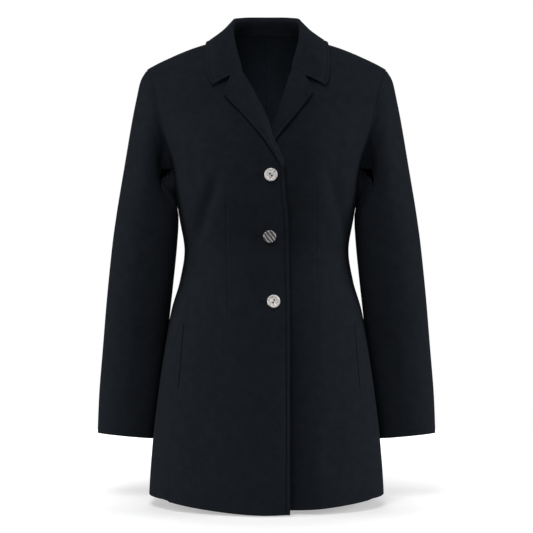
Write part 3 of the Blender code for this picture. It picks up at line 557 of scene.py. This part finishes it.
def side_points(side):
    part = (PANEL_ROWS[UPPER_STEPS:] - 1)[:, None]
    share = np.linspace(0, 1, SIDE_STEPS + 1)[None]
    z_top = side_top(share)
    edge = HEM_HALF_WIDTH * 0.95
    bottom = np.where(share < 0.5, hem(edge, FRONT, side), hem(edge, BACK, side))
    z = z_top + (bottom - z_top) * part
    front_y = surface(seam_x(z, FRONT, side), z, FRONT, side)[..., 1]
    back_y = surface(seam_x(z, BACK, side), z, BACK)[..., 1]
    y = front_y + (back_y - front_y) * share
    half_width, front_depth, back_depth, front_power, back_power, widest_y = np.moveaxis(body_at(z), -1, 0)
    from_widest = y - widest_y
    depth = np.where(from_widest < 0, front_depth, back_depth)
    power = np.where(from_widest < 0, front_power, back_power)
    x = half_width * (1 - np.minimum(abs(from_widest) / depth, 1) ** power) ** (1 / power)
    points = np.stack([x, y, z], axis=-1)
    return points, grid_normals(points, LOWER_STEPS // 2, SIDE_STEPS // 2, (1, 0, 0))


def open_pocket(points, edge, beside):
    """Draws one column of a panel towards the column beside it where the pocket opens."""
    gap = POCKET_OPEN * between(points[:, edge, 2], *POCKET_HEIGHTS)
    opened = points.copy()
    opened[:, edge] += unit(points[:, beside] - points[:, edge]) * gap[:, None]
    return opened


def share_seam(panel, panel_normals, column, points, normals):
    """Brings a side panel's edge and the edge of the front or back beside it to one line."""
    rows = slice(UPPER_STEPS, None)
    joined = (points[rows, -1] + panel[:, column]) / 2
    points[rows, -1] = joined
    panel[:, column] = joined
    panel_normals[:, column] = normals[rows, -1]


def sew_panels(side):
    """The front, side panel and back of one side. Returns what the sleeve, pocket and lapel are sewn to."""
    front, front_normals = front_points(side)
    panel, panel_normals = side_points(side)
    back, back_normals = back_points(side)
    share_seam(panel, panel_normals, 0, front, front_normals)
    share_seam(panel, panel_normals, -1, back, back_normals)
    for name, points, normals in (("front_", open_pocket(front, -1, -2), front_normals),
                                  ("side_panel_", open_pocket(panel, 0, 1), panel_normals),
                                  ("back_", back, back_normals)):
        sew_piece(name + SIDE_NAMES[side], side, points, normals, lined=True)

    def round_armhole(in_front, at_side, behind):
        return np.vstack([in_front[:UPPER_STEPS + 1, -1], at_side[0, 1:-1], behind[UPPER_STEPS:0:-1, -1]])

    armhole = round_armhole(front, panel, back)
    armhole_normals = round_armhole(front_normals, panel_normals, back_normals)
    pocket_seam = (front[UPPER_STEPS:, -1], front_normals[UPPER_STEPS:, -1])
    return armhole, armhole_normals, pocket_seam, (front, front_normals)


def at_height(z, line, values=None):
    """The point, or another value, at a height on a line of points that runs down."""
    values = line if values is None else values
    return np.array([np.interp(z, line[::-1, 2], values[::-1, k]) for k in range(3)])


def sew_pocket_facing(side, seam, seam_normals):
    """A strip of cloth behind the pocket's opening, just inside the two panels."""
    middle = (POCKET_TOP + POCKET_BOTTOM) / 2
    points, normals = [], []
    for z in np.linspace(middle + FACING_LENGTH / 2, middle - FACING_LENGTH / 2, 31):
        point = at_height(z, seam)
        normal = unit(at_height(z, seam, seam_normals))
        along = unit(np.cross(normal, [0, 0, 1]))
        base = point - normal * FACING_BEHIND
        shares = np.linspace(-1, 1, 9)[:, None]
        points.append(base + along * shares * FACING_WIDTH / 2 - normal * FACING_BOW * abs(shares))
        normals.append(np.tile(normal, (9, 1)))
    sew_piece("pocket_facing_" + SIDE_NAMES[side], side, np.array(points), np.array(normals), lined=False,
              wall=FACING_WALL, soft_edge=0.3)


# ---- sleeves ----

SLEEVE_STEPS = 120
UPPER_SLEEVE_STEPS = 64
UNDER_SLEEVE_STEPS = 18
HEAD_FULLNESS = 1.2
HEAD_FULLEST = 0.035
HEAD_WIDTH = 0.025
# At the armhole the sleeve runs in under the edge of the body's cloth
SEAM_SINK = 3
SEAM_UNDER = 2.5
TUCK_DEPTHS = {FRONT: 21, BACK: 9}
# Where a tuck starts, is full, thins and ends: degrees from the outermost line, and shares of the length
TUCK_ANGLES = (62, 126, 138, 168)
TUCK_PLACES = (0, 0.015, 0.06, 0.31)


def sleeve_ring(station, angles):
    """An oval ring between the outer and inner outline. Angle 0 is outermost and 90 degrees is in front."""
    outer_x, outer_z, inner_x, inner_z, middle_y, half_depth, _, front_rise = sleeve_at(station)
    outer = np.array([outer_x, middle_y, outer_z])
    inner = np.array([inner_x, middle_y, inner_z])
    swell = 1 + SECTION_SWELL * np.sin(2 * angles) ** 2
    ring = (outer + inner) / 2 + np.outer(np.cos(angles) * swell, (outer - inner) / 2)
    ring[:, 1] -= np.sin(angles) * swell * half_depth
    ring[:, 2] += np.sin(angles) * swell * front_rise
    return ring


def sleeve_height(place, angle, side):
    """How far the cloth stands out at a place and an angle, for the full head, the tuck and the creases."""
    over_head = smooth((np.cos(np.radians(angle)) + 0.1) / 0.6)
    depth = np.where(angle > 0, TUCK_DEPTHS[FRONT], TUCK_DEPTHS[BACK])
    height = (HEAD_FULLNESS * ridge(place - HEAD_FULLEST, HEAD_WIDTH) * over_head
              - depth * between(abs(angle), *TUCK_ANGLES) * between(place, *TUCK_PLACES))
    for from_angle, from_place, to_angle, to_place, width, rise in SLEEVE_CREASES[side]:
        start = (from_angle * SLEEVE_ACROSS, from_place * SLEEVE_LENGTH)
        end = (to_angle * SLEEVE_ACROSS, to_place * SLEEVE_LENGTH)
        height = height + rise * soft_line(angle * SLEEVE_ACROSS, place * SLEEVE_LENGTH, start, end, width)
    return height


def sleeve_points(side, armhole, armhole_normals):
    """The upper and under sleeve, in rings from the armhole to the cuff."""
    outer_x, outer_z, inner_x, inner_z, middle_y, half_depth = sleeve_at(0.0)[:6]
    centre = np.array([outer_x + inner_x, 2 * middle_y, outer_z + inner_z]) / 2
    arm = np.array([outer_x - inner_x, 0, outer_z - inner_z]) / 2
    across = (armhole - centre) @ arm / (arm @ arm)
    deep = -(armhole[:, 1] - middle_y) / half_depth
    turn = np.unwrap(np.arctan2(deep, across))
    front_seam, back_seam = turn[UPPER_STEPS], turn[UPPER_STEPS + SIDE_STEPS]
    whole_turn = np.sign(turn[-1] - turn[0]) * 2 * np.pi
    turn = np.append(turn, turn[0] + whole_turn)
    order = np.argsort(turn)

    def on_armhole(values, angles):
        values = np.vstack([values, values[:1]])[order]
        return np.stack([np.interp(angles, turn[order], values[:, k]) for k in range(3)], axis=-1)

    stations = np.linspace(0, 1, SLEEVE_STEPS + 1) ** 1.12
    armhole_left = sleeve_at(stations)[:, 6]
    middle = SLEEVE_STEPS // 2
    parts = []
    for start, end, steps in ((back_seam, front_seam + whole_turn, UPPER_SLEEVE_STEPS),
                              (front_seam, back_seam, UNDER_SLEEVE_STEPS)):
        angles = np.linspace(start, end, steps + 1)
        wrapped = turn[0] + np.mod((angles - turn[0]) / whole_turn, 1) * whole_turn
        edge = on_armhole(armhole, wrapped)
        strays = edge - sleeve_ring(0.0, angles)
        grid = np.array([sleeve_ring(s, angles) + strays * left for s, left in zip(stations, armhole_left)])
        inside = sleeve_ring(stations[middle], np.linspace(0, 2 * np.pi, 13)[:-1]).mean(axis=0)
        normals = grid_normals(grid, middle, steps // 2, grid[middle, steps // 2] - inside)
        place = stations[:, None] + 0 * angles
        angle = (np.degrees(wrapped)[None] + 0 * place + 180) % 360 - 180
        under_body = unit(grid[0] - grid[2]) * SEAM_UNDER
        grid = grid + normals * sleeve_height(place, angle, side)[..., None]
        grid[0] = edge - unit(on_armhole(armhole_normals, wrapped)) * SEAM_SINK + under_body
        parts.append((grid, normals))
    return parts


def sew_sleeve(side, armhole, armhole_normals):
    for name, (points, normals) in zip(("upper_sleeve_", "under_sleeve_"),
                                       sleeve_points(side, armhole, armhole_normals)):
        sew_piece(name + SIDE_NAMES[side], side, points, normals, lined=True)


# ---- collar and lapels ----

STAND_SHARES = np.linspace(0, 1, 7)
FOLD_ANGLES = np.radians(np.linspace(-75, 75, 9))
FROM_EDGE = np.array([8, 7, 6.4, 6, 5.6, 5.2, 4.7, 4, 2.8, 1.6, 0.7, 0])
FALL_STEPS = 15
LAPEL_ARC = np.radians(np.linspace(-80, 90, 11))
NEAR_EDGE = len(FROM_EDGE) + FALL_STEPS
# The first column past the notch, counted from the outer edge
NOTCH_COLUMN = 8 - NEAR_EDGE
COLLAR_PLACES = np.concatenate([np.linspace(0, 1, 36)[:-1] * 0.95, np.linspace(0.95, 1, 11)])
LAPEL_PLACES = np.concatenate([np.linspace(0, 1, 66)[:-1] * 0.94, np.linspace(0.94, 1, 13)])
INSIDE_SHARES = (1, 0.5)
# The lapel grows out of the closed edge in the first part of its length, and meets the collar in the last
LAPEL_MERGES = 0.2
MERGED_FOLD = 0.85
MERGED_SINK = 0.9
MEETS_COLLAR_FROM = 0.88
EDGE_GROOVE = 0.9
EDGE_GROOVE_WIDTH = 1.4


def shares_to_edge(width):
    """Shares of the way to an outer edge, crowded along the row of stitches beside it."""
    near = 1 - FROM_EDGE * min(1 / width, 0.075)
    return np.concatenate([np.linspace(0, near[0], FALL_STEPS + 1)[:-1], near])


def press_stitches(points, normals, end_rows):
    """Presses the cloth in along the stitches beside the outer edge and, past the notch, these end rows."""
    fall = points[:, -NEAR_EDGE:]
    nearest = np.inf
    for line in [points[:, -1]] + [points[row, NOTCH_COLUMN:] for row in end_rows]:
        fine = np.array([line[k] + (line[k + 1] - line[k]) * t for k in range(len(line) - 1)
                         for t in (0, 0.25, 0.5, 0.75)] + [line[-1]])
        gaps = np.linalg.norm(fall[:, :, None] - fine[None, None], axis=-1).min(axis=-1)
        nearest = np.minimum(nearest, gaps)
    depth = EDGE_GROOVE * ridge(nearest - EDGE_STITCH, EDGE_GROOVE_WIDTH)
    fall -= normals[:, -NEAR_EDGE:] * depth[..., None]


def turned_out(x, z, side, share):
    """A point on the middle of the cloth that is folded out over a front."""
    point = surface(x, z, FRONT, side)
    point[1] -= float(lift_at(share)[0])
    return point


def collar_station(station, side, along_fold):
    """The middle of the collar's cloth, from the neck seam over the fold to the edge of the fall."""
    shift = side * closing(station.seam_z) if station.face == FRONT else 0
    seam = surface(station.seam_x + shift, station.seam_z, station.face, side)
    normal = outward(seam[0], seam[2], station.face, side)
    if abs(seam[1]) < 1:
        normal = crest_normal(seam[0], station.face)
    inwards = LEFT_FOLD_INWARDS if side == LEFT else 0
    fold_shift = side * closing(station.fold_z) - inwards * station.lies_flat
    fold = np.array([station.fold_x + fold_shift, station.fold_y, station.fold_z], float)
    edge_shift = side * closing(station.edge_z)
    edge = surface(station.edge_x + edge_shift, station.edge_z, station.face, side)
    edge_normal = outward(edge[0], edge[2], station.face, side)
    if station.edge_z > crest(edge[0], station.face) - ON_CREST_WITHIN:
        edge_normal = crest_normal(edge[0], station.face)
    edge = edge + edge_normal * (float(lift_at(1)[0]) - COLLAR_SNUG * (1 - station.lies_flat))
    start = seam - normal * WALL / 2
    rise = unit(fold - start)
    start = start - rise * STAND_SINK
    bulge = unit(np.cross(edge - fold, along_fold))
    if bulge @ (edge_normal + np.array([0, 0, 0.3])) < 0:
        bulge = -bulge
    radius = FOLD_RADIUS + (BACK_FOLD_RADIUS - FOLD_RADIUS) * smooth(station.fold_y / BACK_FOLD_Y)
    stand_top = fold - bulge * radius - rise * radius
    profile = [start + (stand_top - start) * share for share in STAND_SHARES]
    for turn in FOLD_ANGLES:
        profile.append(fold + bulge * radius * math.sin(turn) + rise * (math.cos(turn) - 1) * radius)
    fall_start = fold + bulge * radius - rise * radius
    for share in shares_to_edge(np.linalg.norm(edge - fall_start)):
        point = fall_start + (edge - fall_start) * share + bulge * station.arch * 4 * share * (1 - share)
        if station.lies_flat:
            flat = turned_out(point[0], point[2], side, share)
            point = point + (flat - point) * station.lies_flat * float(smooth(share / 0.2))
        profile.append(point)
    return profile


def collar_half(side):
    """Half of the collar's sections, from the centre back to the gorge."""
    fields = through([(k,) + tuple(s[1:]) for k, s in enumerate(COLLAR)])
    sections = []
    for share in COLLAR_PLACES:
        place = share * (len(COLLAR) - 1)
        face = BACK if place <= 4 else FRONT
        along_fold = unit((fields(place + 0.1) - fields(place - 0.1))[2:5])
        sections.append(collar_station(NeckStation(face, *fields(place)), side, along_fold))
    return np.array(sections)


def sew_collar(halves):
    points = np.vstack([mirrored(halves[RIGHT], RIGHT)[::-1], halves[LEFT][1:]])
    normals = grid_normals(points, len(COLLAR_PLACES), -4, (0, BACK, 0))
    press_stitches(points, normals, (0, -1))
    sew_piece("collar", LEFT, points, normals, lined=False, wall=COLLAR_WALL, offset=0, soft_edge=0.8)


def lapel_point(roll, notch, tip, share, bend):
    """A point between the roll line and the outer edge, on a line that bends at the notch near the gorge."""
    straight = roll + (tip - roll) * share
    if share <= NOTCH_SHARE:
        bent = roll + (notch - roll) * share / NOTCH_SHARE
    else:
        bent = notch + (tip - notch) * (share - NOTCH_SHARE) / (1 - NOTCH_SHARE)
    return straight + (bent - straight) * bend


def run_shares(points):
    """Each point's share of the way along a line of points."""
    run = np.append(0, np.cumsum(steps_along(points, 0)))
    return run / run[-1]


def meet_collar(grid, collar_end, shares):
    """Moves the lapel's top rows so that the last one follows the collar's end, as far as the notch."""
    folds = len(STAND_SHARES) + len(FOLD_ANGLES)
    fold, fall = collar_end[:folds], collar_end[folds:]
    start, out = len(INSIDE_SHARES), len(INSIDE_SHARES) + len(LAPEL_ARC)
    top = grid[-1]
    moved = np.zeros_like(top)
    at_notch = np.zeros(3)
    for k in range(3):
        along_fold = np.interp(np.linspace(0, 1, len(LAPEL_ARC)), run_shares(fold), fold[:, k])
        moved[start:out, k] = along_fold - top[start:out, k]
        moved[out:, k] = np.interp(np.minimum(shares, NOTCH_SHARE), run_shares(fall), fall[:, k])
        at_notch[k] = np.interp(NOTCH_SHARE, shares, top[out:, k])
    moved[out:] -= np.where((shares > NOTCH_SHARE)[:, None], at_notch, top[out:])
    moved[out:] *= (1 - smooth((shares - NOTCH_SHARE) / 0.4))[:, None]
    moved[:start] = moved[start]
    return grid + moved * smooth((LAPEL_PLACES - MEETS_COLLAR_FROM) / (1 - MEETS_COLLAR_FROM))[:, None, None]


def lapel_tip(up, edge_at, side):
    """The end of one row of the lapel, on its outer edge."""
    tip = edge_at(up * (len(LAPEL_EDGE) - 1))[::-1]
    move, near_tip = LAPEL_MOVES[side], smooth((up - 0.55) / 0.45)
    tip[0] += side * closing(tip[1]) - move.edge_in * smooth((up - 0.15) / 0.25) - move.tip_in * near_tip
    tip[1] += move.tip_up * near_tip
    return tip


def sew_lapel(side, front, front_normals, collar_end):
    """The top of a front and its facing, folded out along the roll line. Rows run up from the top button."""
    edge_points, edge_normals = front[:, 0], front_normals[:, 0]
    edge_at = through([(k, *place) for k, place in enumerate(LAPEL_EDGE)])
    roll_levels = through(list(enumerate(LAPEL_ROLL_LEVELS)))
    gorge = COLLAR[-1]
    to_notch = np.array([gorge.edge_x - gorge.fold_x, gorge.edge_z - gorge.fold_z]) * NOTCH_SHARE
    grid = []
    for up in LAPEL_PLACES:
        level = float(roll_levels(up * (len(LAPEL_EDGE) - 1))[0])
        merged = 1 - float(smooth(up / LAPEL_MERGES))
        back_off = WALL + FOLD_CLEARANCE * (1 - merged) + LAPEL_WALL / 2
        radius = (back_off - WALL / 2) * (1 - MERGED_FOLD * merged)
        base = at_height(level, edge_points)
        normal = unit(at_height(level, edge_points, edge_normals))
        along = unit(at_height(level + 4, edge_points) - at_height(level - 4, edge_points))
        opening = unit(np.cross(along, normal))
        if opening[0] > 0:
            opening = -opening
        middle = base - normal * WALL / 2
        profile = [middle - normal * radius - opening * INSIDE_STRIP * share for share in INSIDE_SHARES]
        for turn in LAPEL_ARC:
            profile.append(middle + (opening * math.cos(turn) + normal * math.sin(turn)) * radius)
        tip = lapel_tip(up, edge_at, side)
        roll = base[[0, 2]]
        shares = shares_to_edge(np.linalg.norm(tip - roll))[1:]
        bend = max((up - NOTCH_BEND_FROM) / (1 - NOTCH_BEND_FROM), 0) ** 2
        for share in shares:
            x, z = lapel_point(roll, roll + to_notch, tip, share, bend)
            spot = turned_out(x, z, side, share)
            flush = surface(x, z, FRONT, side) + [0, MERGED_SINK, 0]
            profile.append(spot + (flush - spot) * merged)
        grid.append(profile)
    points = meet_collar(np.array(grid), collar_end, shares)
    normals = grid_normals(points, len(LAPEL_PLACES) // 2, -4, (0, FRONT, 0))
    press_stitches(points, normals, (-1,))
    sew_piece("lapel_" + SIDE_NAMES[side], side, points, normals, lined=False, wall=LAPEL_WALL, offset=0,
              soft_edge=0.8)


# ---- finishes ----

def set_values(node, values):
    for socket, value in values.items():
        node.inputs[socket].default_value = value


def new_finish(name, colour, roughness, values=None):
    finish = bpy.data.materials.new(name)
    finish.use_nodes = True
    shader = finish.node_tree.nodes["Principled BSDF"]
    set_values(shader, {"Base Color": colour + (1,), "Roughness": roughness, **(values or {})})
    return finish, finish.node_tree, shader


def add_node(tree, kind, values=None, **settings):
    node = set_all(tree.nodes.new("ShaderNode" + kind), **settings)
    set_values(node, values or {})
    return node


def add_colours(tree, first_place, first, second_place, second):
    """A node that runs from one colour to another between two places."""
    colours = tree.nodes.new("ShaderNodeValToRGB")
    start, end = colours.color_ramp.elements
    start.position, start.color = first_place, first + (1,)
    end.position, end.color = second_place, second + (1,)
    return colours


def join(tree, *links):
    for from_node, output, to_node, to_input in links:
        tree.links.new(from_node.outputs[output], to_node.inputs[to_input])


def weave_finish(name, dark, light, roughness, thread_width, bump, sheen):
    """Fine woven cloth: two sets of threads, a soft unevenness of colour, and a little nap."""
    finish, tree, shader = new_finish(name, dark, roughness, {
        "Specular IOR Level": 0.01, "Sheen Weight": sheen, "Sheen Roughness": 0.6,
        "Sheen Tint": (0.5, 0.55, 0.65, 1)})
    cloth_map = add_node(tree, "UVMap", uv_map="cloth")
    place = add_node(tree, "TexCoord")
    twill = add_node(tree, "TexWave", {"Scale": 0.628 / (thread_width * METRE), "Distortion": 0.6,
                                       "Detail": 1}, bands_direction="DIAGONAL")
    weft = add_node(tree, "TexWave", {"Scale": 0.314 / (thread_width * 1.4 * METRE)}, bands_direction="X")
    nap = add_node(tree, "TexNoise", {"Scale": 900, "Detail": 3})
    blotches = add_node(tree, "TexNoise", {"Scale": 70, "Detail": 6, "Roughness": 0.72})
    threads = add_node(tree, "Math", {1: 0.5}, operation="MULTIPLY_ADD")
    relief = add_node(tree, "Math", {1: 0.8}, operation="MULTIPLY_ADD")
    shade = add_node(tree, "Math", {1: 0.35}, operation="MULTIPLY_ADD")
    uneven = add_node(tree, "Bump", {"Strength": bump, "Distance": 0.5 * METRE})
    raised = add_node(tree, "Bump", {"Strength": bump, "Distance": 0.05 * METRE})
    colours = add_colours(tree, 0.5, dark, 0.85, light)
    join(tree, (cloth_map, "UV", twill, "Vector"), (cloth_map, "UV", weft, "Vector"),
         (place, "Object", nap, "Vector"), (place, "Object", blotches, "Vector"),
         (weft, "Fac", threads, 0), (twill, "Fac", threads, 2),
         (nap, "Fac", relief, 0), (threads, "Value", relief, 2),
         (blotches, "Fac", uneven, "Height"), (uneven, "Normal", raised, "Normal"),
         (relief, "Value", raised, "Height"), (raised, "Normal", shader, "Normal"),
         (twill, "Fac", shade, 0), (blotches, "Fac", shade, 2),
         (shade, "Value", colours, "Fac"), (colours, "Color", shader, "Base Color"))
    return finish


def patterned_finish(name, roughness, coat, colours, kind, values, **settings):
    """A button's finish, whose colour follows one pattern."""
    finish, tree, shader = new_finish(name, colours[1], roughness, {"Coat Weight": coat})
    place = add_node(tree, "TexCoord")
    pattern = add_node(tree, kind, values, **settings)
    shades = add_colours(tree, *colours)
    join(tree, (place, "Object", pattern, "Vector"), (pattern, "Fac", shades, "Fac"),
         (shades, "Color", shader, "Base Color"))
    return finish


navy_cloth = weave_finish("navy suiting", (0.0082, 0.0100, 0.0132), (0.0122, 0.0145, 0.0184), roughness=0.9,
                          thread_width=0.5, bump=0.5, sheen=0.01)
# The inside cloth is a real lining, but its colour is also painted lighter than it is: painted light
# standing in for light that reaches the jacket's inside
lining_painted_lighter = weave_finish("navy lining", (0.0125, 0.0165, 0.0220), (0.0185, 0.0230, 0.0290), roughness=0.7,
                      thread_width=0.25, bump=0.2, sheen=0.0)
pearl = patterned_finish("pearl shell", 0.3, 0.3, (0.3, (0.22, 0.205, 0.2), 0.7, (1, 0.95, 0.93)),
                         "TexNoise", {"Scale": 260, "Detail": 4, "Distortion": 1.4})
dark_horn = patterned_finish("dark horn", 0.28, 0, (0.35, (0.04, 0.041, 0.044), 0.8, (0.38, 0.35, 0.34)),
                             "TexWave", {"Scale": 95, "Distortion": 3, "Detail": 2},
                             bands_direction="DIAGONAL")
# Near-black painted shade for the sewing holes, which are not cut through the buttons
hole_painted_shade = new_finish("painted shade of a sewing hole", (0.002, 0.002, 0.002), 0.9, {"Specular IOR Level": 0.02})[0]
thread = new_finish("sewing thread", (0.005, 0.006, 0.008), 0.8, {"Specular IOR Level": 0.15})[0]


# ---- buttons and buttonholes ----

BUTTON_PROFILE = ((0, 0.62), (2.6, 0.62), (4.6, 0.66), (6.2, 0.86), (7.2, 1.22), (7.8, 1.5), (8.4, 1.66),
                  (9.2, 1.7), (9.7, 1.6), (10.1, 1.3), (10.4, 0.85), (10.5, 0.3), (10.5, -0.5), (10.3, -1.1),
                  (9.8, -1.5), (9, -1.7), (0, -1.7))
# A flat disc of painted shade that stands on the button where a sewing hole would be
HOLE_SHADE_DISC_PROFILE = ((0, 0.74), (1.4, 0.75), (1.5, 0.66), (1.5, 0.3), (0, 0.3))
NECK_PROFILE = ((0, -1.6), (2.2, -1.6), (1.9, -2.2), (2.4, -2.9), (0, -2.9))
HOLE_FROM_MIDDLE = 1.5
HOLE_LENGTH = 21
HOLE_HALF_WIDTH = 1.15
STITCHES = 26
STITCH_SIZE = (0.42, 1.0, 0.42)
STITCH_LEAN = 4
BAR_STITCHES = (-1.5, -0.5, 0.5, 1.5)
BAR_STITCH_SIZE = (0.9, 0.5, 0.45)


def finish_mesh(name, bm, finish, smooth_angle=35):
    mesh = bpy.data.meshes.new(name)
    bm.to_mesh(mesh)
    bm.free()
    mesh.materials.append(finish)
    mesh.shade_smooth()
    mesh.set_sharp_from_angle(angle=math.radians(smooth_angle))
    piece = bpy.data.objects.new(name, mesh)
    bpy.context.scene.collection.objects.link(piece)
    return piece


def on_upper_front(own_x, z, faces_as_at, stands_off=0):
    """The place of a thing sewn on the upper front, turned to face out as the cloth does at a height."""
    spot = Vector(mirrored(surface(own_x, z, FRONT, RIGHT), RIGHT))
    normal = Vector(mirrored(outward(own_x, faces_as_at, FRONT, RIGHT), RIGHT))
    turned = normal.to_track_quat("Z", "Y").to_matrix().to_4x4()
    return Matrix.Translation((spot + normal * stands_off) * METRE) @ turned


def turn_piece(name, profile, steps, place, finish):
    """A piece turned from a profile of radius and height round its own upright axis."""
    bm = bmesh.new()
    verts = [bm.verts.new((radius * METRE, 0, z * METRE)) for radius, z in profile]
    edges = [bm.edges.new(pair) for pair in zip(verts, verts[1:])]
    bmesh.ops.spin(bm, geom=verts + edges, cent=(0, 0, 0), axis=(0, 0, 1), angle=2 * math.pi, steps=steps,
                   use_merge=True)
    bmesh.ops.remove_doubles(bm, verts=bm.verts, dist=0.005 * METRE)
    bmesh.ops.recalc_face_normals(bm, faces=bm.faces)
    bmesh.ops.transform(bm, matrix=place, verts=bm.verts)
    piece = finish_mesh(name, bm, finish)
    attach(piece, "root")
    return piece


def make_button(button):
    """A button with a raised rim, on a holed one two near-black discs painted as the shade of its sewing
    holes, and the neck of thread under it.
    """
    place = on_upper_front(-button.x, button.height, button.height, BUTTON_SHANK + BUTTON_THICKNESS / 2)
    disc = turn_piece(button.name + "_disc", BUTTON_PROFILE, 56, place, pearl if button.holed else dark_horn)
    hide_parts(button.name)
    turned = place @ Matrix.Rotation(math.radians(button.turned), 4, "Z")
    if button.holed:
        # The sewing holes are not cut: a near-black disc on the face stands in for each, as painted shade
        for number, offset in enumerate((-HOLE_SPACING / 2, HOLE_SPACING / 2)):
            at = turned @ Matrix.Translation((offset * METRE, 0, 0))
            hole = turn_piece(f"{button.name}_hole_{number + 1}", HOLE_SHADE_DISC_PROFILE, 20, at, hole_painted_shade)
    turn_piece(button.name + "_thread_neck", NECK_PROFILE, 24, place, thread)


def make_buttonhole(button):
    """The stitches of a buttonhole across the upper front, from under the button: two rows of stitches and a
    bar at the end.
    """
    bm = bmesh.new()

    def stitch(own_x, z, faces_as_at, size, lean=0):
        place = on_upper_front(own_x, z, faces_as_at) @ Matrix.Rotation(math.radians(lean), 4, "Z")
        shape = Matrix.Diagonal([length * METRE for length in size] + [1])
        bmesh.ops.create_icosphere(bm, subdivisions=1, radius=1, matrix=place @ shape)

    start = HOLE_FROM_MIDDLE - button.x
    for k in range(STITCHES):
        own_x = start + HOLE_LENGTH * k / (STITCHES - 1)
        for z_offset in (-HOLE_HALF_WIDTH, HOLE_HALF_WIDTH):
            stitch(own_x, button.height + z_offset, button.height, STITCH_SIZE, STITCH_LEAN * (-1) ** k)
    for z_offset in BAR_STITCHES:
        z = button.height + z_offset
        stitch(start + HOLE_LENGTH + 0.4, z, z, BAR_STITCH_SIZE)
    hole = finish_mesh(button.name + "_buttonhole", bm, thread, 180)
    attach(hole, "root")


# ---- floor, light and camera ----

# Large soft boxes: name, place, width and power in watts. From here on, lengths are in metres
SOFT_BOXES = (("overhead", (-0.6, -2.2, 2.4), 1.4, 58), ("front", (0.5, -3.6, 0.7), 1.4, 19),
              ("left", (-2.9, -0.3, 0), 1.2, 52), ("right", (2.9, -0.3, 0), 1.2, 64),
              ("behind", (0, 3.2, 1.6), 1.6, 30))
LIGHTS_AIM = (0, 0, -0.35)
SURROUND = 0.15
FLOOR_DROP = 0.7655
FLOOR_RADIUS = 0.9
FLOOR_SHADE = (0.7, 0.7, 0.7)
# The floor's glow is this much up to a distance from the middle, and full white from another one outwards
FLOOR_GLOW = (0.38, 0.38, 0.38)
GLOW_WITHIN = 0.2
WHITE_FROM = 0.62
CAMERA_TARGET = (0, 0, -0.369)
CAMERA_RISE = 4.5
CAMERA_DISTANCE = 4.0
FRAME_WIDTH = 0.888
SENSOR_WIDTH = 36


def set_room():
    """A white room that shows white, with less light in it than the soft boxes give."""
    world = bpy.data.worlds.new("studio")
    world.use_nodes = True
    tree = world.node_tree
    shown = tree.nodes["Background"]
    set_values(shown, {"Color": (1, 1, 1, 1)})
    around = add_node(tree, "Background", {"Color": (1, 1, 1, 1), "Strength": SURROUND})
    path = add_node(tree, "LightPath")
    either = add_node(tree, "MixShader")
    join(tree, (path, "Is Camera Ray", either, 0), (around, "Background", either, 1),
         (shown, "Background", either, 2), (either, "Shader", tree.nodes["World Output"], "Surface"))
    bpy.context.scene.world = world
    bpy.context.scene.view_settings.view_transform = "Standard"


def lay_floor():
    """A pale floor that takes the jacket's shadow, and grows white outwards into the room."""
    finish, tree, shader = new_finish("white floor", FLOOR_SHADE, 0.9)
    seen = add_node(tree, "LightPath")
    spot = add_node(tree, "TexCoord")
    centred = add_node(tree, "Mapping", {"Location": (0, 0, FLOOR_DROP)})
    from_middle = add_node(tree, "TexGradient", gradient_type="SPHERICAL")
    glow = add_colours(tree, 1 - WHITE_FROM, (1, 1, 1), 1 - GLOW_WITHIN, FLOOR_GLOW)
    join(tree, (spot, "Object", centred, "Vector"), (centred, "Vector", from_middle, "Vector"),
         (from_middle, "Fac", glow, "Fac"), (glow, "Color", shader, "Emission Color"),
         (seen, "Is Camera Ray", shader, "Emission Strength"))
    bm = bmesh.new()
    bmesh.ops.create_circle(bm, cap_ends=True, segments=96, radius=FLOOR_RADIUS,
                            matrix=Matrix.Translation((0, 0, -FLOOR_DROP)))
    finish_mesh("floor", bm, finish)


def aim_at(name, data, place, target):
    """Puts a light or the camera in the scene, pointing at its target."""
    thing = bpy.data.objects.new(name, data)
    thing.location = place
    thing.rotation_euler = (Vector(target) - Vector(place)).to_track_quat("-Z", "Y").to_euler()
    bpy.context.scene.collection.objects.link(thing)
    return thing


def set_lights():
    for name, place, width, power in SOFT_BOXES:
        aim_at(name, set_all(bpy.data.lights.new(name, "AREA"), size=width, energy=power), place, LIGHTS_AIM)


def set_camera():
    rise = math.radians(CAMERA_RISE)
    data = set_all(bpy.data.cameras.new("camera"), sensor_width=SENSOR_WIDTH, clip_end=60,
                   lens=SENSOR_WIDTH * CAMERA_DISTANCE / FRAME_WIDTH)
    place = Vector(CAMERA_TARGET) + Vector((0, -math.cos(rise), math.sin(rise))) * CAMERA_DISTANCE
    bpy.context.scene.camera = aim_at("camera", data, place, CAMERA_TARGET)


# ---- the whole jacket ----

collar_halves = {side: collar_half(side) for side in (LEFT, RIGHT)}
for side in (LEFT, RIGHT):
    armhole, armhole_normals, pocket_seam, front_edge = sew_panels(side)
    sew_sleeve(side, armhole, armhole_normals)
    sew_pocket_facing(side, *pocket_seam)
    sew_lapel(side, *front_edge, collar_halves[side][-1])
sew_collar(collar_halves)
for button in BUTTONS:
    make_button(button)
    make_buttonhole(button)
set_room()
lay_floor()
set_lights()
set_camera()
